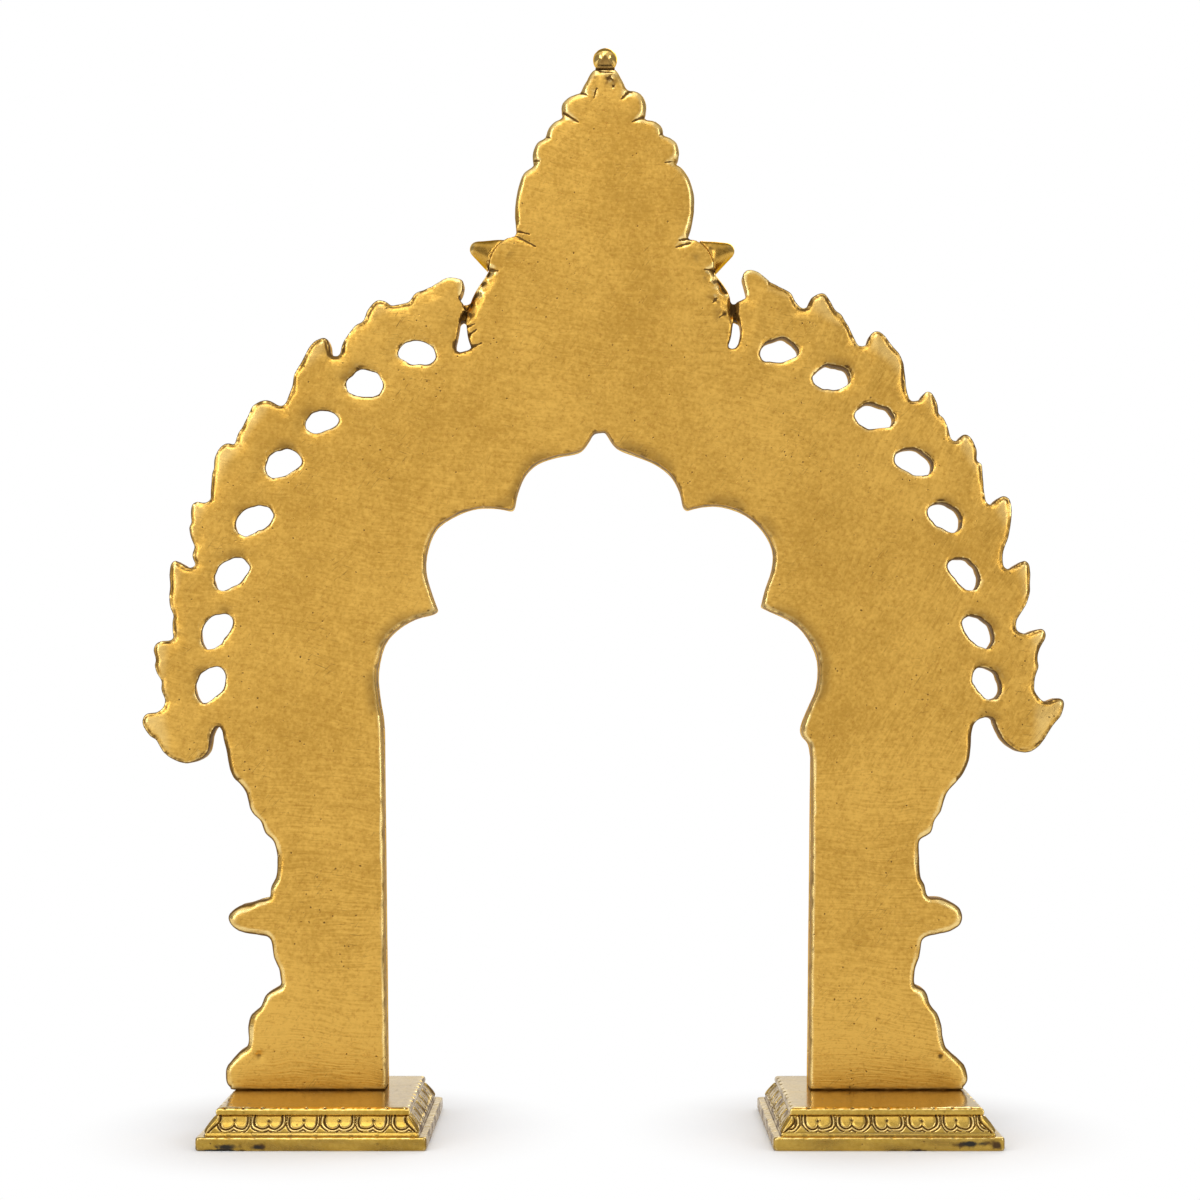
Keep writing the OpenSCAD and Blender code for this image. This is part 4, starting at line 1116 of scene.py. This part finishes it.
# The finial's peg, the foot of its neck as radius and height, where the ball begins, and the nub on its top
PEG_R = 1.2
NECK = [(2.3, 0), (2.28, 0.18), (2.02, 0.42), (1.74, 0.72), (1.62, 0.98)]
NECK_TOP_R = 1.66
BALL_STEPS = 24
NUB = 0.12
NUB_LEAN = 0.3
# The pointed tongue that laps over the neck at the back: half its width, its height, and its face's distance
# from the axis and lean
TONGUE_HALF = 2.5
TONGUE_RISE = 3.7
TONGUE_FACE = -3.1
TONGUE_LEAN = 0.1


def finial_bead():
    """A turned bead on a flared neck, with its peg in the crest."""
    foot = bead_high.z - BEAD_D
    radius = BEAD_D / 2
    profile = [(0, bead_low.z - foot), (PEG_R, bead_low.z - foot), (PEG_R, 0)] + NECK
    first = math.pi - math.asin(NECK_TOP_R / radius)
    for step in range(BALL_STEPS + 1):
        lean = first - first * step / BALL_STEPS
        nub = NUB * max(0, 1 - lean / NUB_LEAN) - NUB
        profile.append((radius * math.sin(lean), radius * (1 + math.cos(lean)) + nub * (lean < 1)))
    shape = bmesh.new()
    spots = [shape.verts.new(Vector((CREST_X + r, PLATE_MID, foot + z)) * MM) for r, z in profile]
    rim = [shape.edges.new(pair) for pair in zip(spots, spots[1:])]
    axis = Vector((CREST_X, PLATE_MID, 0)) * MM
    bmesh.ops.spin(shape, geom=spots + rim, cent=axis, axis=(0, 0, 1), angle=2 * math.pi, steps=72,
                   use_merge=True)
    bmesh.ops.remove_doubles(shape, verts=shape.verts, dist=JOIN * MM)
    for v in shape.verts:
        x, y, z = (v.co - axis) / MM - Vector((0, 0, foot))
        if z > 0.01 and y < 0:
            tongue = swell(TONGUE_HALF * (1 - z / TONGUE_RISE) - abs(x), -0.25, 0.25)
            v.co.y += tongue * (min(y, TONGUE_FACE + TONGUE_LEAN * z) - y) * MM
    bmesh.ops.recalc_face_normals(shape, faces=shape.faces)
    piece = new_piece("finial_bead_turned", shape)
    mark_wear(piece, 0.2, 1)
    points = points_of(piece)
    up, across = points[:, 2] - foot, np.abs(points[:, 0] - CREST_X)
    tongue = swell(TONGUE_HALF * (1 - up / TONGUE_RISE) - across, -0.3, 0.3) * (points[:, 1] < BACK + 2.6)
    seam = 0.9 * line(up - 0.1, 0.28) * (across < 2.4)
    # Painted shade: the foot of the neck under the ball is darker
    neck_shade = 0.3 * (1 - swell(up, 0.5, 1.6))
    store(piece, "tarnish_and_shade", np.maximum.reduce([neck_shade, 0.75 * tongue, seam]))
    shade_smooth(piece, TURNED_CREASE)
    finish_piece(piece, "finial_bead", polished_brass)


# Plinths

# Section of a plinth from its foot to its flat top: distance in from the riser's face, and height
PLINTH_SECTION = [
    (0.7, 0.0), (0.2, 0.08), (0.0, 0.45), (0.0, 2.6), (0.14, 2.9), (0.5, 3.05), (1.3, 3.05), (1.66, 3.12),
    (1.76, 3.32), (1.78, 3.55), (1.95, 3.66), (2.0, 4.05), (2.25, 4.65), (2.62, 5.25), (3.05, 5.85),
    (3.5, 6.4), (3.92, 6.85), (4.2, 7.05), (4.34, 7.12), (4.2, 7.2), (4.02, 7.36), (3.95, 7.65), (3.94, 8.0),
    (4.0, 8.35), (4.18, 8.62), (4.5, 8.82), (4.9, 8.9), (6.2, 8.9),
]
# First and last point of the section that the petals lie between, and the petals' length and pitch
PETALS_FROM = 10
PETALS_TO = 18
PETAL_DEPTH = 4.3
PETAL_PITCH = 7.8
# Radii of the upright corners of the riser and of what stands on it, and the height between the two
RISER_CORNER = 0.8
BAND_CORNER = 0.3
RISER_TOP = 3.2
# Heights of the pale lines on the two level edges, painted highlights partly rubbed wear, and of the nicks in
# them, and how far in from the riser these lines may lie
TOP_EDGE, TOP_NICKS = 8.72, 8.78
RISER_EDGE, RISER_NICKS = 2.92, 2.95
EDGES_IN = 5.2
# Faces along one side
SIDE_STEPS = 290
# Points of two sides closer than this are one point
SIDE_JOIN = 0.01
# Radius and depth of the wells for the screws' heads
WELL_R = 4.8
WELL_DEPTH = 4.2
# How far the petals are shifted along the back of each plinth, and from one further side to the next
LEFT_SHIFT, RIGHT_SHIFT = -2.0, 0.0
SHIFT_STEP = 0.4
# Distance of the screws from the arch's axis
SCREW_PLACES = (58, 78)
# Sooty places on the plinths' backs: place across, height, half the width, half the height, and weight
LEFT_STAINS = [
    (-83, 1.0, 4.6, 1.0, 0.95), (-76, 0.9, 3.4, 0.8, 0.75), (-85, 0.1, 6.5, 0.4, 1.3),
    (-64, 0.6, 8.0, 0.6, 0.42), (-50, 1.6, 6.0, 0.5, 0.42),
]
RIGHT_STAINS = [
    (82.5, 1.7, 4.6, 0.9, 1.15), (88, 1.3, 2.0, 1.4, 0.85), (70, 0.2, 7, 0.4, 0.7), (56, 1.4, 6.0, 0.6, 0.42),
]


def plinth_rows():
    """Points up the section, close together on the petals, and how far below the petals' top each lies."""
    section = np.array(PLINTH_SECTION)
    run = np.concatenate([[0], np.cumsum(np.linalg.norm(np.diff(section, axis=0), axis=1))])
    start, stop = run[PETALS_FROM], run[PETALS_TO]
    spots = np.concatenate([
        np.arange(0, start, 0.26),
        np.arange(start, stop, 0.15),
        np.arange(stop, run[-2], 0.16),
        run[-2:],
    ])
    rows = np.stack([np.interp(spots, run, section[:, 0]), np.interp(spots, run, section[:, 1])], axis=1)
    below = (stop - spots) / (stop - start) * PETAL_DEPTH
    return rows, below


def petal_relief(along, below, corner, shift):
    """Height of the lotus petals and of the leaf at each corner."""
    wobble = 0.16 * np.sin(along * 0.83 + 1.3 + shift) + 0.1 * np.sin(along * 2.1 + 4 * shift)
    across = np.abs((along + wobble - shift + PETAL_PITCH / 2) % PETAL_PITCH - PETAL_PITCH / 2)
    below = below + 0.14 * np.sin(along * 1.27 + shift)
    lobe = np.hypot(across - 1.42, below - 1.8) - 1.58
    bowl = np.maximum(across - 2.9 - 0.16 * np.sin(below), below - 1.85)
    shape = np.minimum(lobe, bowl)
    puff = 0.08 * swell(-shape, 0, 0.6) + 0.08 * swell(shape, 0.1, 0.4) * (1 - swell(shape, 0.5, 0.8))
    cuts = 0.36 * line(shape, 0.13) + 0.32 * line(shape - 0.72, 0.12) * (below < 4.0)
    drop = 0.32 * line(np.hypot(across, (below - 1.3) * 0.8), 0.26)
    petals = puff - cuts - drop
    leaf_w = 0.25 + 1.5 * np.sin(math.pi * np.clip(below / 4.9, 0, 1) ** 0.7)
    leaf = 0.3 * np.sin(math.pi * np.clip(corner / leaf_w, 0, 1)) - 0.4 * line(corner - leaf_w, 0.16)
    inside = swell(below, -0.05, 0.25) * (1 - swell(below, PETAL_DEPTH - 0.25, PETAL_DEPTH))
    return inside * np.where(corner < leaf_w + 0.3, leaf, petals) * swell(corner, 0.0, 0.2)


def plinth_side(rows, below, shift, turn):
    """One side of a plinth: a grid bent along the section, carved, and turned to its place."""
    side = bmesh.new()
    last = len(rows) - 1
    bmesh.ops.create_grid(side, x_segments=SIDE_STEPS, y_segments=last, size=1)
    column = np.array([v.co.x for v in side.verts])
    row = np.rint((np.array([v.co.y for v in side.verts]) + 1) / 2 * last).astype(int)
    slope = np.gradient(rows, axis=0)
    slope /= np.linalg.norm(slope, axis=1)[:, None]
    half = PLINTH_HALF - rows[row, 0]
    along = column * half
    corner = half - np.abs(along)
    bend = np.where(rows[row, 1] < RISER_TOP, RISER_CORNER, BAND_CORNER)
    turned = np.clip(1 - corner / bend, 0, 1) * math.pi / 4
    reach = half - bend * (1 - np.cos(turned))
    run = np.where(corner < bend, np.sign(along) * (half - bend * (1 - np.sin(turned))), along)
    relief = petal_relief(along, below[row], corner, shift)
    nick = np.clip(np.sin(along * 3.1 + turn * 2) + np.sin(along * 1.37 + shift) - 0.9, 0, 1)
    chip = np.clip(np.sin(along * 2.3 + turn) + np.sin(along * 0.91 + 3 * shift) - 0.7, 0, 1)
    worn = 0.22 * nick * line(rows[row, 1] - TOP_NICKS, 0.16)
    worn += 0.06 * chip * line(rows[row, 1] - RISER_NICKS, 0.3)
    carved = (row > 0) & (row < last - 1)
    out = carved * (relief - worn * swell(corner, 0, 0.3))
    for v, s, h, o, i in zip(side.verts, run, reach, out, row):
        v.co = Vector((s, -(h + o * slope[i, 1]), rows[i, 1] + o * slope[i, 0])) * MM
    quarter_turns = Matrix.Rotation(turn * math.pi / 2, 3, "Z")
    bmesh.ops.rotate(side, verts=side.verts, cent=(0, 0, 0), matrix=quarter_turns)
    return side


def ring_of(shape, height):
    """The open edges of a shape that lie at a height."""
    level = height * MM
    return [e for e in shape.edges if e.is_boundary and all(abs(v.co.z - level) < 1e-7 for v in e.verts)]


def screw_well(whole, x):
    """Sinks the well for a screw's head into the sole. Returns the edges of its rim."""
    spot = Matrix.Translation(Vector((x, PLATE_MID, 0)) * MM)
    circle = bmesh.ops.create_circle(whole, segments=48, radius=WELL_R * MM, matrix=spot)
    rim = list(dict.fromkeys(e for v in circle["verts"] for e in v.link_edges))
    wall = bmesh.ops.extrude_edge_only(whole, edges=rim)["geom"]
    top = [item for item in wall if isinstance(item, bmesh.types.BMVert)]
    bmesh.ops.translate(whole, verts=top, vec=(0, 0, WELL_DEPTH * MM))
    bmesh.ops.contextual_create(whole, geom=[e for e in edges_in(wall) if all(v in top for v in e.verts)])
    return rim


def plinth_body(middle, shift, screws):
    """A whole carved plinth in its place, with the wells under it."""
    rows, below = plinth_rows()
    whole = bmesh.new()
    for turn in range(4):
        side = plinth_side(rows, below, shift if turn == 0 else SHIFT_STEP * turn, turn)
        part = bpy.data.meshes.new("side")
        side.to_mesh(part)
        side.free()
        whole.from_mesh(part)
        bpy.data.meshes.remove(part)
    bmesh.ops.remove_doubles(whole, verts=whole.verts, dist=SIDE_JOIN * MM)
    bmesh.ops.contextual_create(whole, geom=ring_of(whole, rows[-1, 1]))
    sole = ring_of(whole, 0)
    for x in screws:
        sole += screw_well(whole, x - middle)
    bmesh.ops.triangle_fill(whole, edges=sole, use_beauty=True)
    bmesh.ops.recalc_face_normals(whole, faces=whole.faces)
    bmesh.ops.translate(whole, verts=whole.verts, vec=(middle * MM, 0, 0))
    return whole


def mark_plinth(piece, middle, stains):
    """Marks worn edges with painted highlights, the soot, and brown with painted shade on riser, band and
    flanks.
    """
    points = points_of(piece)
    x, y, z = points.T
    # Painted highlights, partly rubbed wear: broken pale lines along the two level edges
    edges = np.maximum(line(z - TOP_EDGE, 0.24), 0.8 * line(z - RISER_EDGE, 0.2))
    edges *= np.maximum(np.abs(x - middle), np.abs(y)) > PLINTH_HALF - EDGES_IN
    raise_wear_and_highlight(piece, 1, 0.8 * edges * swell(ripple(points, 1.6, 72), -0.4, 0.5))
    soot = np.zeros(len(points))
    for stain_x, stain_z, wide, high, weight in stains:
        soot = np.maximum(soot, weight * line(x - stain_x, wide) * line(z - stain_z, high) * (y < 0))
    store(piece, "stain", soot)
    blotch = 0.75 + 0.35 * ripple(points * [1, 1, 3], 9, 71)
    # Painted shade, partly patina on the riser: the riser, the petal band and the flanks are coloured darker
    riser_brown_and_shade = 0.38 * (1 - swell(z, 2.5, RISER_TOP)) * blotch
    band = 0.3 * swell(z, RISER_TOP, 3.6) * (1 - swell(z, 6.9, 7.1))
    flank_shade = 0.66 * (np.abs(normals_of(piece)[:, 0]) > 0.5) * blotch
    store(piece, "tarnish_and_shade", np.clip(np.maximum.reduce([riser_brown_and_shade, band, flank_shade]), 0, 1))


def plinth(node, middle, shift, screws, stains):
    piece = new_piece(node + "_carved", plinth_body(middle, shift, screws))
    mark_wear(piece, 0.4, 1)
    mark_plinth(piece, middle, stains)
    shade_smooth(piece, TURNED_CREASE)
    finish_piece(piece, node, plinth_brass)


# Camera, light and floor

# The camera's distance behind the plate and height, its lens, and how far the picture is shifted upwards
CAMERA_AWAY = 520
CAMERA_Z = 100.3
LENS = 66.6
SENSOR = 36
HORIZON_SHIFT = 0.0833
# Lamps: name, place, width, height and how bright each looks. They aim at the middle of the arch.
AIM = (0, 0, 0.11)
LAMPS = [
    ("over_lamp", (0.0, -0.2, 1.15), 0.6, 0.6, 1.1),
    ("top_lamp", (-0.12, -0.74, 0.92), 0.46, 0.46, 2.8),
    ("left_lamp", (-0.74, -0.64, 0.44), 0.18, 0.8, 4.6),
    ("right_lamp", (0.76, -0.62, 0.36), 0.16, 0.8, 3.9),
    ("front_lamp", (0.35, 0.9, 0.75), 0.6, 0.6, 2.6),
]
WHITE = colour(1, 1, 1)
DIM_SKY = colour(0.30, 0.29, 0.28)
ROOM_GREY = colour(0.62, 0.62, 0.63)
PAPER_GREY = colour(0.91, 0.91, 0.91)
# The floor's radius in metres, how far it lies under the soles, and where it turns white round a plinth
FLOOR_R = 4
FLOOR_DROP = 0.02
SHADOW_END = (0.028, 0.062)


def camera():
    lens = bpy.data.cameras.new("camera")
    lens.sensor_width = SENSOR
    lens.lens = LENS
    lens.shift_y = HORIZON_SHIFT
    lens.clip_start = 0.01
    eye = put_in_scene("camera", lens)
    eye.location = Vector((0, BACK - CAMERA_AWAY, CAMERA_Z)) * MM
    eye.rotation_euler = (math.pi / 2, 0, 0)
    bpy.context.scene.camera = eye


def soft_lamp(name, place, width, height, level):
    """A flat lamp that looks at the middle of the arch. level is how bright it looks."""
    lamp = bpy.data.lights.new(name, "AREA")
    lamp.shape = "RECTANGLE"
    lamp.size = width
    lamp.size_y = height
    lamp.energy = level * math.pi * width * height
    stand = put_in_scene(name, lamp)
    stand.location = place
    stand.rotation_euler = (Vector(AIM) - Vector(place)).to_track_quat("-Z", "Y").to_euler()


def sky():
    """A world that is white to the camera, white with dim sides where metal mirrors it, and grey as light."""
    world = bpy.context.scene.world or bpy.data.worlds.new("world")
    bpy.context.scene.world = world
    nodes = fresh_nodes(world)
    rays = ("Is Camera Ray", "Is Glossy Ray", "Is Transmission Ray")
    seen, glossy, through = (nodes.add("ShaderNodeLightPath", {}, {}, ray) for ray in rays)
    way = nodes.add("ShaderNodeTexCoord", {}, {}, "Generated")
    across, behind, up = (way.part(axis) for axis in "XYZ")
    dim = (up.held(0.40, 0.75) * behind.held(-0.1, 0.25)).most(across.size().held(0.58, 0.88))
    dim = dim.most(0.3 * across.held(0.03, 0.2) * up.held(-0.1, 0.08))
    mirrored = glossy.most(through).tint(ROOM_GREY, dim.tint(WHITE, DIM_SKY))
    light = nodes.add("ShaderNodeBackground", {}, {"Color": seen.tint(mirrored, WHITE), "Strength": 1.0})
    nodes.add("ShaderNodeOutputWorld", {}, {"Surface": light})


def white_floor():
    """A floor of white paper, plain near the plinths, where it keeps their shadow, and bright further out."""
    slab = bmesh.new()
    bmesh.ops.create_circle(slab, cap_ends=True, segments=96, radius=FLOOR_R)
    bmesh.ops.translate(slab, verts=slab.verts, vec=(0, 0, -FLOOR_DROP * MM))
    floor = new_piece("floor", slab)
    paper = bpy.data.materials.new("floor_paper")
    nodes = fresh_nodes(paper)
    place = nodes.add("ShaderNodeTexCoord", {}, {}, "Object")
    inputs = {"X": place.part("X").size() - PILLAR_X * MM, "Y": place.part("Y")}
    from_plinth = nodes.add("ShaderNodeCombineXYZ", {}, inputs)
    away = nodes.add("ShaderNodeVectorMath", {"operation": "LENGTH"}, {0: from_plinth}, "Value")
    near = nodes.add("ShaderNodeBsdfDiffuse", {}, {"Color": PAPER_GREY})
    far = nodes.add("ShaderNodeEmission", {}, {"Color": WHITE, "Strength": 1.0})
    mixed = nodes.add("ShaderNodeMixShader", {}, {0: away.held(*SHADOW_END), 1: near, 2: far})
    nodes.add("ShaderNodeOutputMaterial", {}, {"Surface": mixed})
    floor.data.materials.append(paper)


def studio():
    sky()
    for lamp in LAMPS:
        soft_lamp(*lamp)
    white_floor()
    bpy.context.scene.view_settings.view_transform = "Standard"


camera()
studio()
arch_plate()
plinth("left_plinth", -PILLAR_X, LEFT_SHIFT, [-x for x in SCREW_PLACES], LEFT_STAINS)
plinth("right_plinth", PILLAR_X, RIGHT_SHIFT, SCREW_PLACES, RIGHT_STAINS)
kirtimukha_mask()
inner_moulding()
halo_rib()
pilaster("left_pilaster", -PILLAR_X)
pilaster("right_pilaster", PILLAR_X)
finial_bead()
for node in ("left_foot_screws", "right_foot_screws", "left_foot_washers", "right_foot_washers"):
    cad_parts[node].data.materials.clear()
    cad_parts[node].data.materials.append(screw_brass)
